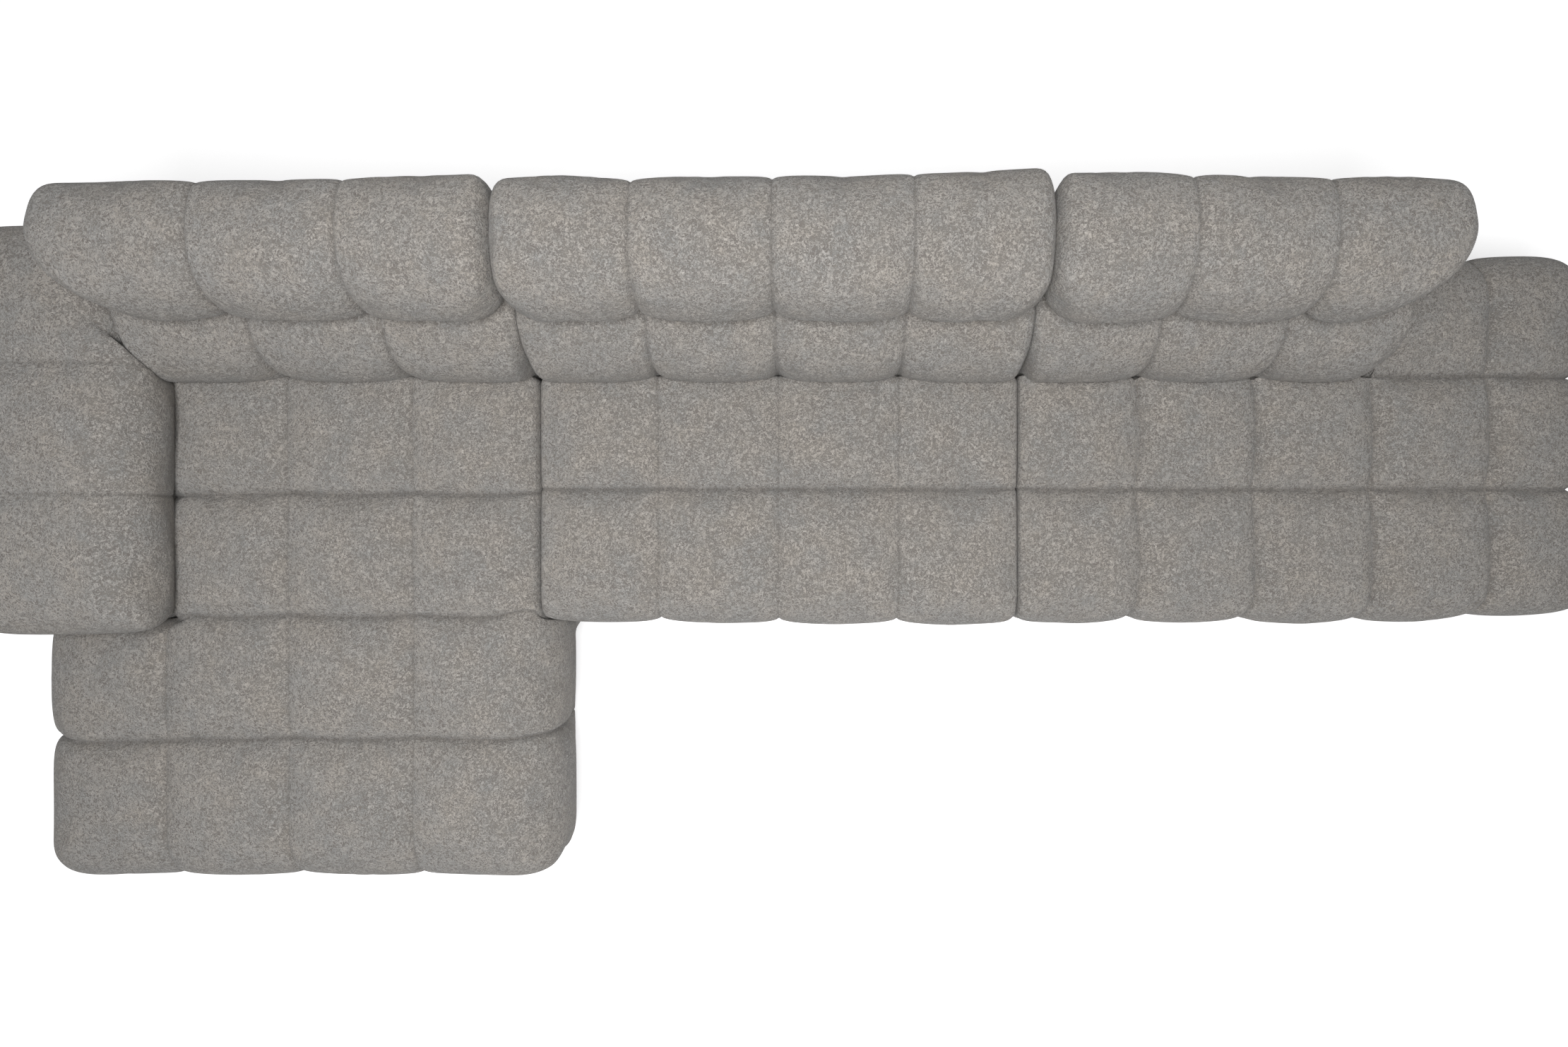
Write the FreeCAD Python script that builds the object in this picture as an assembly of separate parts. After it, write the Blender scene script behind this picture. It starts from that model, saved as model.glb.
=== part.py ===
import FreeCAD, Part

import math
import os
from FreeCAD import Vector

# A modular sectional sofa in millimetres: a chaise with the only arm, an armless middle and an open end.
# The front is -Y and the floor is Z = 0. X and Y are measured from the middle of the whole footprint.

# Widths, from the arm on the left to the open end on the right
ARM_WIDTH = 360.0
CHAISE_CELL = 310.0
CHAISE_CELLS = 3
MIDDLE_CELL = 300.0
MIDDLE_CELLS = 4
END_CELL = 292.0
END_BACK_CELLS = 3
END_OPEN_CELLS = 2
CHAISE_FRONT_SWELL = 45.0  # the chaise's front part swells this far past its joint with the middle

# Depths, from the chaise's front edge to the rear of the headrests
CHAISE_FRONT_CELL = 363.0
CHAISE_CELL_DEPTH = 307.0
SEAT_CELL_DEPTH = 284.0
SEAT_FRONT_CELL = 335.0
CHAISE_LAP = 9.0  # the chaise's front part starts this far behind the other seats' front edge
BACK_DEPTH = 318.0
ARM_PAST_REAR = 6.0
HEADREST_OVERHANG = 46.0

# Heights above the floor
FOOT_HEIGHT = 43.0
DUST_COVER_THICK = 2.0
RAIL_HEIGHT = 200.0
SEAT_CAVITY_TOP = 400.0
COLUMN_VALLEY = 436.0
ROW_VALLEY = 426.0
SEAT_CROWN = 460.0
SHOULDER_HEIGHT = 370.0
WIDEST_HEIGHT = 285.0
ARM_CAVITY_TOP = 600.0
ARM_VALLEY = 642.0
ARM_CROWN = 660.0
BACK_FACE_FOOT = 440.0
BACK_TOP = 668.0
HEADREST_VALLEY = 866.0
HEADREST_CROWN = 888.0

# Upholstery
FIT = 0.4  # clearance between a filling or a frame and the cover round it
MODULE_GAP = 0.6  # between two upholstered modules that stand side by side
ROLL_WALL = 57.0  # cover and padding where it rolls over an outer edge
BUTT_WALL = 12.0  # cover where it meets a neighbour
TUCK = 35.0  # how far an outer side draws in at the bottom
SHOULDER_IN = 10.0  # how far it has drawn in at the shoulder
SEAM_NOTCH = 13.0  # depth of the sewn channels in an outer side
CORNER_ROUND = 90.0
EDGE_ROUND = 30.0

# Frames and springs
BOARD = 22.0
BLOCK = 90.0
BLOCK_HEIGHT = 40.0
WIRE_RADIUS = 2.0
WIRE_SEAT = 0.2  # clearance of the wire over its rail
WIRE_LANDING = 8.0  # how far a spring's end reaches onto its rail
SPRING_RUN = 16.0
SPRING_PITCH = 40.0
SPRING_SPACING = 165.0

# Feet and fasteners
FOOT_TOP_RADIUS = 27.0
FOOT_FLOOR_RADIUS = 21.0
BOLT_RADIUS = 4.0
HOLE_CLEARANCE = 0.3
BOLT_HEAD_RADIUS = 9.0
BOLT_HEAD_THICK = 5.0
BOLT_HEIGHT = 140.0
BOLT_INSET = 180.0
PLATE_THICK = 3.0
PLATE_LENGTH = 150.0
PLATE_WIDTH = 120.0
SCREW_RADIUS = 3.0
SCREW_LENGTH = 25.0
SCREW_SPACING = 100.0
PLATE_FROM_FRONT = 250.0
PLATE_FROM_BACK = 180.0

# Arm
ARM_SWELL = 58.0  # the arm's inner side leans this far over the seat
ARM_LEDGE = 28.0  # how far the arm already stands over the seat where it comes down on it
ARM_LEDGE_DROP = 14.0  # the arm comes down this far below the seat's crown
ARM_FRONT_SWELL = 20.0
ARM_WALL = 50.0
ARM_FRAME_TOP = 560.0
ARM_SWELL_DROP = 92.0  # the inner side swells most this far below the arm's crown
ARM_SHOULDER_DROP = 95.0
ARM_TOP_DROP = 8.0  # how far the top has dropped where it starts to roll over the inner side

# Back, in side view and in plan
BACK_WALL = 26.0
BACK_REAR_WALL = 12.0
BACK_CAVITY_TOP = 640.0
BACK_SWELL = 16.0
BACK_LEAN = 122.0  # the face stands this much further back at the top than at the seat
BACK_SCALLOP = 14.0
BACK_ARM_ROUND = 20.0
BACK_OPEN_ROUND = 90.0
BACK_INNER_ROUND = 40.0
TOP_RAIL_DEPTH = 50.0
TOP_RAIL_HEIGHT = 42.0
REAR_RAIL_HEIGHT = 66.0
STRAP_THICK = 2.0
STRAP_HEIGHT = 60.0
STRAP_PITCH = 82.0
STRAP_COUNT = 4
STRAP_FROM_REAR = 66.0

# Headrest
HEADREST_SEAT_GAP = 0.5
HEADREST_WALL = 30.0
HEADREST_UNDER_WALL = 13.0
HEADREST_BOARD = 12.0
HEADREST_FRONT_SWELL = 46.0  # the front swells this far forward of the hinge axis
HEADREST_END_ROLL = 80.0
HEADREST_OUTER_ROUND = 190.0
HEADREST_OVER_ARM = 75.0  # the chaise headrest reaches this far over the arm
HEADREST_OVER_END = 44.0  # the end headrest reaches this far past its back

# A headrest in side view. Pairs are a point's distance back from the nose and up from the base in front,
# and its distance in from the rear and down from the crown behind.
HEADREST_BASE_START = 12.0  # the flat underside starts this far behind the hinge axis
HEADREST_UNDER_ROLL = (28.0, 22.0)
HEADREST_NOSE_HEIGHT = 68.0
HEADREST_FACE = (16.0, 160.0)
HEADREST_BROW_BACK = 86.0
HEADREST_BROW_DROP = 12.0
HEADREST_PEAK_BACK = 164.0
HEADREST_NAPE = (28.0, 20.0)
HEADREST_REAR_ROLL = (6.0, 38.0)
HEADREST_REAR_DROP = 63.0
HEADREST_REAR_BELLY = (6.0, 138.0)
HEADREST_REAR_TUCK = 30.0

# A headrest's end in front view
HEADREST_END_TUCK = 26.0
HEADREST_END_BELLY = (4.0, 14.0)
HEADREST_END_HEIGHT = 40.0
HEADREST_END_DROP = 3.0

# The room for a headrest's foam and board
ROOM_BEHIND_AXIS = 26.0
ROOM_REAR_MARGIN = 8.0
ROOM_TOP_MARGIN = 14.0
ROOM_NOSE_HEIGHT = 60.0
ROOM_BROW = (8.0, 30.0)
ROOM_BROW_BACK = 60.0
ROOM_REAR_CHAMFER = 46.0
BOARD_FROM_FRONT = 8.0
BAR_FROM_FRONT = 14.0
BAR_FROM_REAR = 50.0

# Headrest hinges: their axis runs along X in the crease between back and headrest
AXIS_BEHIND_FACE = 15.0
AXIS_ABOVE_TOP = 14.0
HUB_RADIUS = 10.0
HUB_SHOULDER = 2.0  # a leaf leaves its hub this far inside the hub's rim
PIN_RADIUS = 4.0
PIN_CLEARANCE = 0.05
PIN_HEAD_RADIUS = 6.5
PIN_HEAD_THICK = 2.0
LEAF = 3.0
LEAF_GAP = 0.2
LEAF_DEPTH = 32.0
BAR_HEIGHT = 18.0
HINGE_SLOT = 16.0  # width of the slots that the hinges work in
SLOT_ROOM = 4.0
FLANGE = 20.0

# Places that follow from the sizes
END_CELLS = END_BACK_CELLS + END_OPEN_CELLS
TOTAL_WIDTH = ARM_WIDTH + CHAISE_CELLS * CHAISE_CELL + MIDDLE_CELLS * MIDDLE_CELL + END_CELLS * END_CELL
X_LEFT = -TOTAL_WIDTH / 2
X_ARM = X_LEFT + ARM_WIDTH
X_CHAISE_END = X_ARM + CHAISE_CELLS * CHAISE_CELL
X_MIDDLE_END = X_CHAISE_END + MIDDLE_CELLS * MIDDLE_CELL
X_OPEN = X_MIDDLE_END + END_BACK_CELLS * END_CELL
SEAT_DEPTH = SEAT_CELL_DEPTH + SEAT_FRONT_CELL
CHAISE_DEPTH = CHAISE_FRONT_CELL + CHAISE_CELL_DEPTH - CHAISE_LAP + SEAT_DEPTH + BACK_DEPTH
Y_FRONT = -(CHAISE_DEPTH + HEADREST_OVERHANG) / 2
Y_REAR = Y_FRONT + CHAISE_DEPTH
Y_HEADREST_REAR = Y_REAR + HEADREST_OVERHANG
Y_BACK = Y_REAR - BACK_DEPTH
Y_ROW = Y_BACK - SEAT_CELL_DEPTH
Y_SEAT_FRONT = Y_ROW - SEAT_FRONT_CELL
Y_CHAISE_ROW_1 = Y_FRONT + CHAISE_FRONT_CELL
Y_CHAISE_ROW_2 = Y_CHAISE_ROW_1 + CHAISE_CELL_DEPTH
Y_CHAISE_ROW_3 = Y_CHAISE_ROW_2 + CHAISE_CELL_DEPTH
HALF_GAP = MODULE_GAP / 2
BOTTOM = FOOT_HEIGHT + DUST_COVER_THICK
RAIL_TOP = BOTTOM + RAIL_HEIGHT
WIRE_HEIGHT = RAIL_TOP + WIRE_RADIUS + WIRE_SEAT
FOAM_BOTTOM = WIRE_HEIGHT + WIRE_RADIUS + FIT
BACK_FACE_Y = Y_BACK + HALF_GAP
AXIS_Y = BACK_FACE_Y + BACK_LEAN + AXIS_BEHIND_FACE
AXIS_Z = BACK_TOP + AXIS_ABOVE_TOP
HEADREST_BASE = BACK_TOP + HEADREST_SEAT_GAP
BEYOND = 400.0  # how far a cutting prism runs past what it cuts
OVER = 1.0  # how far a drill runs past what it drills
QUARTER = 0.2929  # the middle of a quarter round lies this share of its radius in from the corner

SIDES = ("front", "right", "rear", "left")
ALONG = ((1, 0), (0, 1), (-1, 0), (0, -1))  # the way round each side, seen from above
INWARD = ((0, 1), (-1, 0), (0, -1), (1, 0))

pieces = {}


def add(name, *solids):
    pieces.setdefault(name, []).extend(solids)


class Outline:
    """A closed flat outline of lines and arcs."""

    def __init__(self, start):
        self.start = start
        self.here = start
        self.steps = []

    def line(self, to):
        self.steps.append((self.here, None, to))
        self.here = to
        return self

    def arc(self, via, to):
        self.steps.append((self.here, via, to))
        self.here = to
        return self

    def swing(self, way, to):
        """An arc that leaves along way and arrives at to."""
        chord = [to[k] - self.here[k] for k in (0, 1)]
        turn = math.atan2(way[1], way[0]) - math.atan2(chord[1], chord[0])
        rise = math.tan(math.remainder(turn, 2 * math.pi) / 2) / 2
        via = (self.here[0] + chord[0] / 2 - chord[1] * rise, self.here[1] + chord[1] / 2 + chord[0] * rise)
        return self.arc(via, to)

    def prism(self, place, push):
        """The solid between the outline and its copy moved by push. place gives a flat point's place in space."""
        if self.here != self.start:
            self.line(self.start)
        edges = []
        for a, via, b in self.steps:
            if via is None:
                edges.append(Part.LineSegment(place(*a), place(*b)).toShape())
            else:
                edges.append(Part.Arc(place(*a), place(*via), place(*b)).toShape())
        return Part.Face(Part.Wire(edges)).extrude(push)


def push_x(outline, low, high):
    """A prism along X from an outline of (y, z) points."""
    return outline.prism(lambda y, z: Vector(low, y, z), Vector(high - low, 0, 0))


def push_y(outline, low, high):
    """A prism along Y from an outline of (x, z) points."""
    return outline.prism(lambda x, z: Vector(x, low, z), Vector(0, high - low, 0))


def push_z(outline, low, high):
    """A prism along Z from an outline of (x, y) points."""
    return outline.prism(lambda x, y: Vector(x, y, low), Vector(0, 0, high - low))


def polygon(points):
    outline = Outline(points[0])
    for point in points[1:]:
        outline.line(point)
    return outline


def box(x, y, z):
    """A box between pairs of limits."""
    return Part.makeBox(x[1] - x[0], y[1] - y[0], z[1] - z[0], Vector(x[0], y[0], z[0]))


def rod(radius, start, end):
    way = end.sub(start)
    return Part.makeCylinder(radius, way.Length, start, way)


def join(shapes):
    whole = shapes[0]
    for shape in shapes[1:]:
        whole = whole.fuse(shape)
    return whole.removeSplitter()


def cut_all(shape, tools):
    for tool in tools:
        shape = shape.cut(tool)
    return shape


def seams(start, cells, cell):
    return [start + i * cell for i in range(cells + 1)]


def between(a, b):
    return (a + b) / 2


def crowned_profile(stops, rolls, valley, crown):
    """Side view of a quilted pad: one arc for each cell, and outer ends that roll over and tuck in below."""
    first, last = stops[0], stops[-1]
    outline = Outline((first + (TUCK if rolls[0] else 0), BOTTOM))
    if rolls[0]:
        outline.arc((first, WIDEST_HEIGHT), (first + SHOULDER_IN, SHOULDER_HEIGHT))
    else:
        outline.line((first, valley))
    for low, high in zip(stops, stops[1:]):
        rolling_end = high == last and rolls[1]
        end = (high - SHOULDER_IN, SHOULDER_HEIGHT) if rolling_end else (high, valley)
        outline.arc((between(low, high), crown), end)
    if rolls[1]:
        return outline.arc((last, WIDEST_HEIGHT), (last - TUCK, BOTTOM))
    return outline.line((last, BOTTOM))


def quilted_plan(xs, ys, rolls, notch=SEAM_NOTCH):
    """Top view of a quilted pad. Sides named in rolls bulge between their seams. The others are straight."""
    corners = [(xs[0], ys[0]), (xs[-1], ys[0]), (xs[-1], ys[-1]), (xs[0], ys[-1])]
    stops = [xs[1:-1], ys[1:-1], xs[-2:0:-1], ys[-2:0:-1]]
    bulging = [side in rolls for side in SIDES]
    rounds = [(0.0, EDGE_ROUND, CORNER_ROUND)[bulging[i - 1] + bulging[i]] for i in range(4)]

    def on_side(i, along):
        """A point on side i, drawn in by the notch where that side bulges."""
        inset = notch if bulging[i] else 0.0
        return tuple(corners[i][k] + ALONG[i][k] * along + INWARD[i][k] * inset for k in (0, 1))

    outline = Outline(on_side(0, rounds[0]))
    for i in range(4):
        turn = (i + 1) % 4
        length = abs(sum(corners[turn]) - sum(corners[i]))
        reach = [abs(stop - corners[i][i % 2]) for stop in stops[i]] + [length - rounds[turn]]
        for along in reach:
            here, end = outline.here, on_side(i, along)
            if bulging[i]:
                via = tuple(between(here[k], end[k]) - INWARD[i][k] * notch for k in (0, 1))
                outline.arc(via, end)
            else:
                outline.line(end)
        if rounds[turn]:
            here = outline.here
            end = outline.start if turn == 0 else on_side(turn, rounds[turn])
            share = [QUARTER if ALONG[i][k] == 0 else 1 - QUARTER for k in (0, 1)]
            outline.arc(tuple(here[k] + (end[k] - here[k]) * share[k] for k in (0, 1)), end)
    return outline


def quilted_pad(xs, ys, rolls):
    """A pad with a grid of crowned cells, sewn down between them, that hangs to the bottom of the frame."""
    across = crowned_profile(xs, ("left" in rolls, "right" in rolls), COLUMN_VALLEY, SEAT_CROWN)
    along = crowned_profile(ys, ("front" in rolls, "rear" in rolls), ROW_VALLEY, SEAT_CROWN)
    pad = push_y(across, ys[0] - BEYOND, ys[-1] + BEYOND)
    pad = pad.common(push_x(along, xs[0] - BEYOND, xs[-1] + BEYOND))
    return pad.common(push_z(quilted_plan(xs, ys, rolls), 0, SEAT_CROWN + BEYOND))


def inner_room(xs, ys, rolls):
    """The rectangle inside a pad's cover, as limits in X and in Y."""
    wall = {side: ROLL_WALL if side in rolls else BUTT_WALL for side in SIDES}
    return (xs[0] + wall["left"], xs[-1] - wall["right"]), (ys[0] + wall["front"], ys[-1] - wall["rear"])


def drawn_in(room, joined=False):
    """Limits that clear a room's walls. Where the front is joined to another room, they meet its frame."""
    (x0, x1), (y0, y1) = room
    return (x0 + FIT, x1 - FIT), (y0 - FIT if joined else y0 + FIT, y1 - FIT)


def rails(limits, joined):
    """The boards round a base frame: two along Y, and those across between them."""
    (x0, x1), (y0, y1) = limits
    high = (BOTTOM, RAIL_TOP)
    sides = [box((x0, x0 + BOARD), (y0, y1), high), box((x1 - BOARD, x1), (y0, y1), high)]
    inside = (x0 + BOARD, x1 - BOARD)
    across = [box(inside, (y1 - BOARD, y1), high)]
    if not joined:
        across.append(box(inside, (y0, y0 + BOARD), high))
    return sides, across


def spring_wire(x, low, high):
    """One flat zigzag spring along Y, with straight runs across and half-round turns."""
    turns = round((high - low) / SPRING_PITCH)
    pitch = (high - low) / turns
    edges = []
    side = 1
    for i in range(turns + 1):
        y = low + i * pitch
        near, far = (Vector(x + s * SPRING_RUN / 2, y, WIRE_HEIGHT) for s in (-side, side))
        edges.append(Part.LineSegment(near, far).toShape())
        if i < turns:
            via = far.add(Vector(side * pitch / 2, pitch / 2, 0))
            edges.append(Part.Arc(far, via, far.add(Vector(0, pitch, 0))).toShape())
        side = -side
    ring = Part.Circle(edges[0].Vertexes[0].Point, Vector(1, 0, 0), WIRE_RADIUS).toShape()
    return Part.Wire(edges).makePipeShell([Part.Wire(ring)], True, False)


def springs(limits, joined):
    """Springs side by side, from the rail in front to the rail behind."""
    (x0, x1), (y0, y1) = limits
    low = y0 - WIRE_LANDING if joined else y0 + BOARD - WIRE_LANDING
    high = y1 - BOARD + WIRE_LANDING
    count = max(2, round((x1 - x0) / SPRING_SPACING) - 1)
    pitch = (x1 - x0) / (count + 1)
    return [spring_wire(x0 + pitch * (i + 1), low, high) for i in range(count)]


def dust_sheet(limits, holes):
    return cut_all(box(*limits, (FOOT_HEIGHT, BOTTOM)), holes)


def stand(limits, side_x, side_y):
    """A foot and the corner block that its stud goes into. Returns the stud's hole."""
    (x0, x1), (y0, y1) = limits
    reach = BOARD + BLOCK / 2
    x = x0 + reach if side_x < 0 else x1 - reach
    y = y0 + reach if side_y < 0 else y1 - reach
    floor, seat = Vector(x, y, 0), Vector(x, y, FOOT_HEIGHT)
    top = Vector(x, y, BOTTOM + BLOCK_HEIGHT)
    cone = Part.makeCone(FOOT_FLOOR_RADIUS, FOOT_TOP_RADIUS, FOOT_HEIGHT, floor)
    hole = rod(BOLT_RADIUS + HOLE_CLEARANCE, seat.sub(Vector(0, 0, OVER)), top.add(Vector(0, 0, OVER)))
    half = BLOCK / 2
    block = box((x - half, x + half), (y - half, y + half), (BOTTOM, top.z))
    add("feet", cone.fuse(rod(BOLT_RADIUS, seat, top)))
    add("corner_blocks", block.cut(hole))
    return hole


def bolt(start, end):
    """A bolt whose head sits against start. Returns its hole."""
    way = end.sub(start).normalize()
    head = rod(BOLT_HEAD_RADIUS, start.sub(way * BOLT_HEAD_THICK), start)
    add("frame_bolts", rod(BOLT_RADIUS, start, end).fuse(head))
    return rod(BOLT_RADIUS + HOLE_CLEARANCE, start.sub(way * OVER), end.add(way * OVER))


def seat_base(name, pads, stands, holes):
    """A base of one or two pads. A second pad lies in front of the first, and their insides are one."""
    rooms = [inner_room(*pad) for pad in pads]
    if len(rooms) == 2:
        (behind_x, behind_y), (front_x, front_y) = rooms
        shared_x = (max(behind_x[0], front_x[0]), min(behind_x[1], front_x[1]))
        rooms[0] = (shared_x, (front_y[1], behind_y[1]))
    cover = join([quilted_pad(*pad) for pad in pads])
    cavity = join([box(*room, (0, SEAT_CAVITY_TOP)) for room in rooms])
    add(name + "_cover", cut_all(cover.cut(cavity), holes))

    fillings, sheets = [], []
    for i, room in enumerate(rooms):
        joined = len(rooms) == 2 and i == 0
        limits = drawn_in(room, joined)
        studs = [stand(limits, *corner) for corner in stands[i]]
        sides, across = rails(limits, joined)
        add(name + "_side_rails", *[cut_all(board, holes) for board in sides])
        add(name + "_cross_rails", *[cut_all(board, holes) for board in across])
        add(name + "_springs", *springs(limits, joined))
        fillings.append(box(*limits, (FOAM_BOTTOM, SEAT_CAVITY_TOP - FIT)))
        sheets.append(dust_sheet(limits, studs + holes))
    add(name + "_foam", join(fillings))
    add(name + "_dust_cover", join(sheets))


def back_profile(clear=0.0):
    """Side view of the fixed lower back: a swelling face that leans back, a flat top and an upright rear."""
    face = BACK_FACE_Y - clear
    round_rear = BACK_REAR_WALL * QUARTER
    outline = Outline((face, BOTTOM)).line((face, BACK_FACE_FOOT))
    middle = (face + BACK_LEAN / 5 - BACK_SWELL, between(BACK_FACE_FOOT, BACK_TOP))
    outline.arc(middle, (face + BACK_LEAN, BACK_TOP)).line((Y_REAR - BACK_REAR_WALL, BACK_TOP))
    outline.arc((Y_REAR - round_rear, BACK_TOP - round_rear), (Y_REAR, BACK_TOP - BACK_REAR_WALL))
    return outline.line((Y_REAR, BOTTOM))


def scalloped_front(outline, stops, rounds, front):
    """Adds a front edge to an outline: a round corner, a scallop for each cell, and another round corner."""
    left, right = stops[0], stops[-1]
    low, high = rounds
    outline.arc((left + low * QUARTER, front + low * QUARTER), (left + low, front))
    for stop in stops[1:-1] + [right - high]:
        outline.arc((between(outline.here[0], stop), front - BACK_SCALLOP), (stop, front))
    outline.arc((right - high * QUARTER, front + high * QUARTER), (right, front + high))


def back_body(stops, rounds):
    """The outer shape of a fixed back, scalloped along the lean of its face."""
    left, right = stops[0], stops[-1]
    depth = BACK_DEPTH + BEYOND
    plan = Outline((left, depth)).line((left, rounds[0]))
    scalloped_front(plan, stops, rounds, 0.0)
    plan.line((right, depth))
    slope = Vector(0, BACK_LEAN, BACK_TOP - BACK_FACE_FOOT).normalize() * BEYOND
    foot = Vector(0, BACK_FACE_Y - BACK_SWELL / 2, BACK_FACE_FOOT)
    leaning = plan.prism(lambda x, n: Vector(x, foot.y + n, foot.z).sub(slope), slope * 2)
    upright = box((left, right), (BACK_FACE_Y, Y_REAR + OVER), (BOTTOM, BACK_FACE_FOOT - 2 * BACK_SWELL))
    return push_x(back_profile(), left, right).common(leaning.fuse(upright))


def back(name, stops, rounds, hinge_xs):
    """The fixed lower back of one module. Returns the holes of its bolts and the front of its top rail."""
    left, right = stops[0], stops[-1]
    share = (BACK_CAVITY_TOP - BACK_FACE_FOOT) / (BACK_TOP - BACK_FACE_FOOT)
    room_front, room_rear = BACK_FACE_Y + BACK_WALL, Y_REAR - BACK_REAR_WALL
    room_lean = room_front + BACK_LEAN * share
    room_x = (left + BACK_WALL, right - BACK_WALL)
    room = polygon([
        (room_front, BOTTOM - OVER),
        (room_front, BACK_FACE_FOOT),
        (room_lean, BACK_CAVITY_TOP),
        (room_rear, BACK_CAVITY_TOP),
        (room_rear, BOTTOM - OVER),
    ])
    x0, x1 = room_x[0] + FIT, room_x[1] - FIT
    front, rear, top = room_front + FIT, room_rear - FIT, BACK_CAVITY_TOP - FIT
    inside = (x0 + BOARD, x1 - BOARD)

    # Two shaped end panels with boards between them
    knee, shoulder = (front, BACK_FACE_FOOT), (room_lean + FIT, top)
    panel = polygon([(front, BOTTOM), knee, shoulder, (rear, top), (rear, BOTTOM)])
    rail_front = room_lean + 2 * FIT
    strap_y = rear - STRAP_FROM_REAR
    shelf = (RAIL_TOP - BOARD, RAIL_TOP)
    seat_rail_front = Y_BACK - HALF_GAP - BUTT_WALL - FIT - BOARD
    holes = [
        bolt(Vector(x, seat_rail_front, BOLT_HEIGHT), Vector(x, front + BOARD, BOLT_HEIGHT))
        for x in (left + BOLT_INSET, right - BOLT_INSET)
    ]
    add(
        name + "_back_frame",
        push_x(panel, x0, x0 + BOARD),
        push_x(panel, x1 - BOARD, x1),
        box(inside, (rail_front, rail_front + TOP_RAIL_DEPTH), (top - TOP_RAIL_HEIGHT, top)),
        box(inside, (rear - BOARD, rear), (BOTTOM, BOTTOM + REAR_RAIL_HEIGHT)),
        box(inside, (rear - BOARD, rear), (top - REAR_RAIL_HEIGHT, top)),
        box(inside, (front, strap_y), shelf),
        cut_all(box(inside, (front, front + BOARD), (BOTTOM, shelf[0])), holes),
    )
    for i in range(STRAP_COUNT):
        z = RAIL_TOP + STRAP_HEIGHT / 2 + i * STRAP_PITCH
        add(name + "_back_straps", box(inside, (strap_y, strap_y + STRAP_THICK), (z, z + STRAP_HEIGHT)))

    foam_top = top - TOP_RAIL_HEIGHT - FIT
    foam_lean = front + BACK_LEAN * (foam_top - BACK_FACE_FOOT) / (BACK_TOP - BACK_FACE_FOOT)
    foam = polygon([
        (front, RAIL_TOP + FIT),
        (front, BACK_FACE_FOOT),
        (foam_lean, foam_top),
        (strap_y - FIT, foam_top),
        (strap_y - FIT, RAIL_TOP + FIT),
    ])
    add(name + "_back_foam", push_x(foam, inside[0] + FIT, inside[1] - FIT))

    limits = ((x0, x1), (front, rear))
    studs = [stand(limits, side, 1) for side in (-1, 1)]
    add(name + "_dust_cover", dust_sheet(limits, studs))

    slots = [
        box(
            (x - LEAF_GAP - LEAF - FLANGE - SLOT_ROOM, x + HINGE_SLOT / 2),
            (AXIS_Y - HUB_RADIUS - OVER, rail_front + LEAF_DEPTH + SLOT_ROOM),
            (top - OVER, BACK_TOP + OVER),
        )
        for x in hinge_xs
    ]
    cover = back_body(stops, rounds).cut(push_x(room, *room_x))
    add(name + "_back_cover", cut_all(cover, slots + holes))
    return holes, rail_front


def headrest_profile():
    """Side view of a headrest, cut away below in front of its axis so that it can tilt up."""
    rear, base, crown = Y_HEADREST_REAR, HEADREST_BASE, HEADREST_CROWN
    nose = AXIS_Y - HEADREST_FRONT_SWELL

    def in_front(back, up):
        return nose + back, base + up

    def behind(forward, down):
        return rear - forward, crown - down

    brow = (nose + HEADREST_BROW_BACK, crown - HEADREST_BROW_DROP)
    outline = Outline((AXIS_Y + HEADREST_BASE_START, base))
    outline.arc(in_front(*HEADREST_UNDER_ROLL), in_front(0, HEADREST_NOSE_HEIGHT))
    outline.arc(in_front(*HEADREST_FACE), brow)
    outline.arc((nose + HEADREST_PEAK_BACK, crown), behind(*HEADREST_NAPE))
    outline.arc(behind(*HEADREST_REAR_ROLL), behind(0, HEADREST_REAR_DROP))
    return outline.arc(behind(*HEADREST_REAR_BELLY), (rear - HEADREST_REAR_TUCK, base))


def headrest_plan(stops, rounds):
    """Top view of a headrest, scalloped in front and behind."""
    left, right = stops[0], stops[-1]
    front = AXIS_Y - HEADREST_FRONT_SWELL + BACK_SCALLOP
    rear = Y_HEADREST_REAR - BACK_SCALLOP
    size = BACK_INNER_ROUND
    corner = size * QUARTER
    outline = Outline((left, rear - size)).line((left, front + rounds[0]))
    scalloped_front(outline, stops, rounds, front)
    outline.line((right, rear - size)).arc((right - corner, rear - corner), (right - size, rear))
    for stop in stops[-2:0:-1] + [left + size]:
        outline.arc((between(outline.here[0], stop), rear + BACK_SCALLOP), (stop, rear))
    return outline.arc((left + corner, rear - corner), outline.start)


def headrest_face(stops):
    """Front view of a headrest: a scalloped top with rounded ends."""
    left, right = stops[0], stops[-1]
    base, crown, roll = HEADREST_BASE, HEADREST_CROWN, HEADREST_END_ROLL
    corner = roll * QUARTER
    tuck, height, drop = HEADREST_END_TUCK, base + HEADREST_END_HEIGHT, crown - HEADREST_END_DROP
    belly, belly_height = HEADREST_END_BELLY
    outline = Outline((left + tuck, base)).arc((left + belly, base + belly_height), (left, height))
    outline.line((left, crown - roll)).arc((left + corner, crown - corner), (left + roll, drop))
    for stop in stops[1:-1]:
        outline.arc((between(outline.here[0], stop), crown), (stop, HEADREST_VALLEY))
    outline.arc((between(outline.here[0], right - roll), crown), (right - roll, drop))
    outline.arc((right - corner, crown - corner), (right, crown - roll))
    return outline.line((right, height)).arc((right - belly, base + belly_height), (right - tuck, base))


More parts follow.
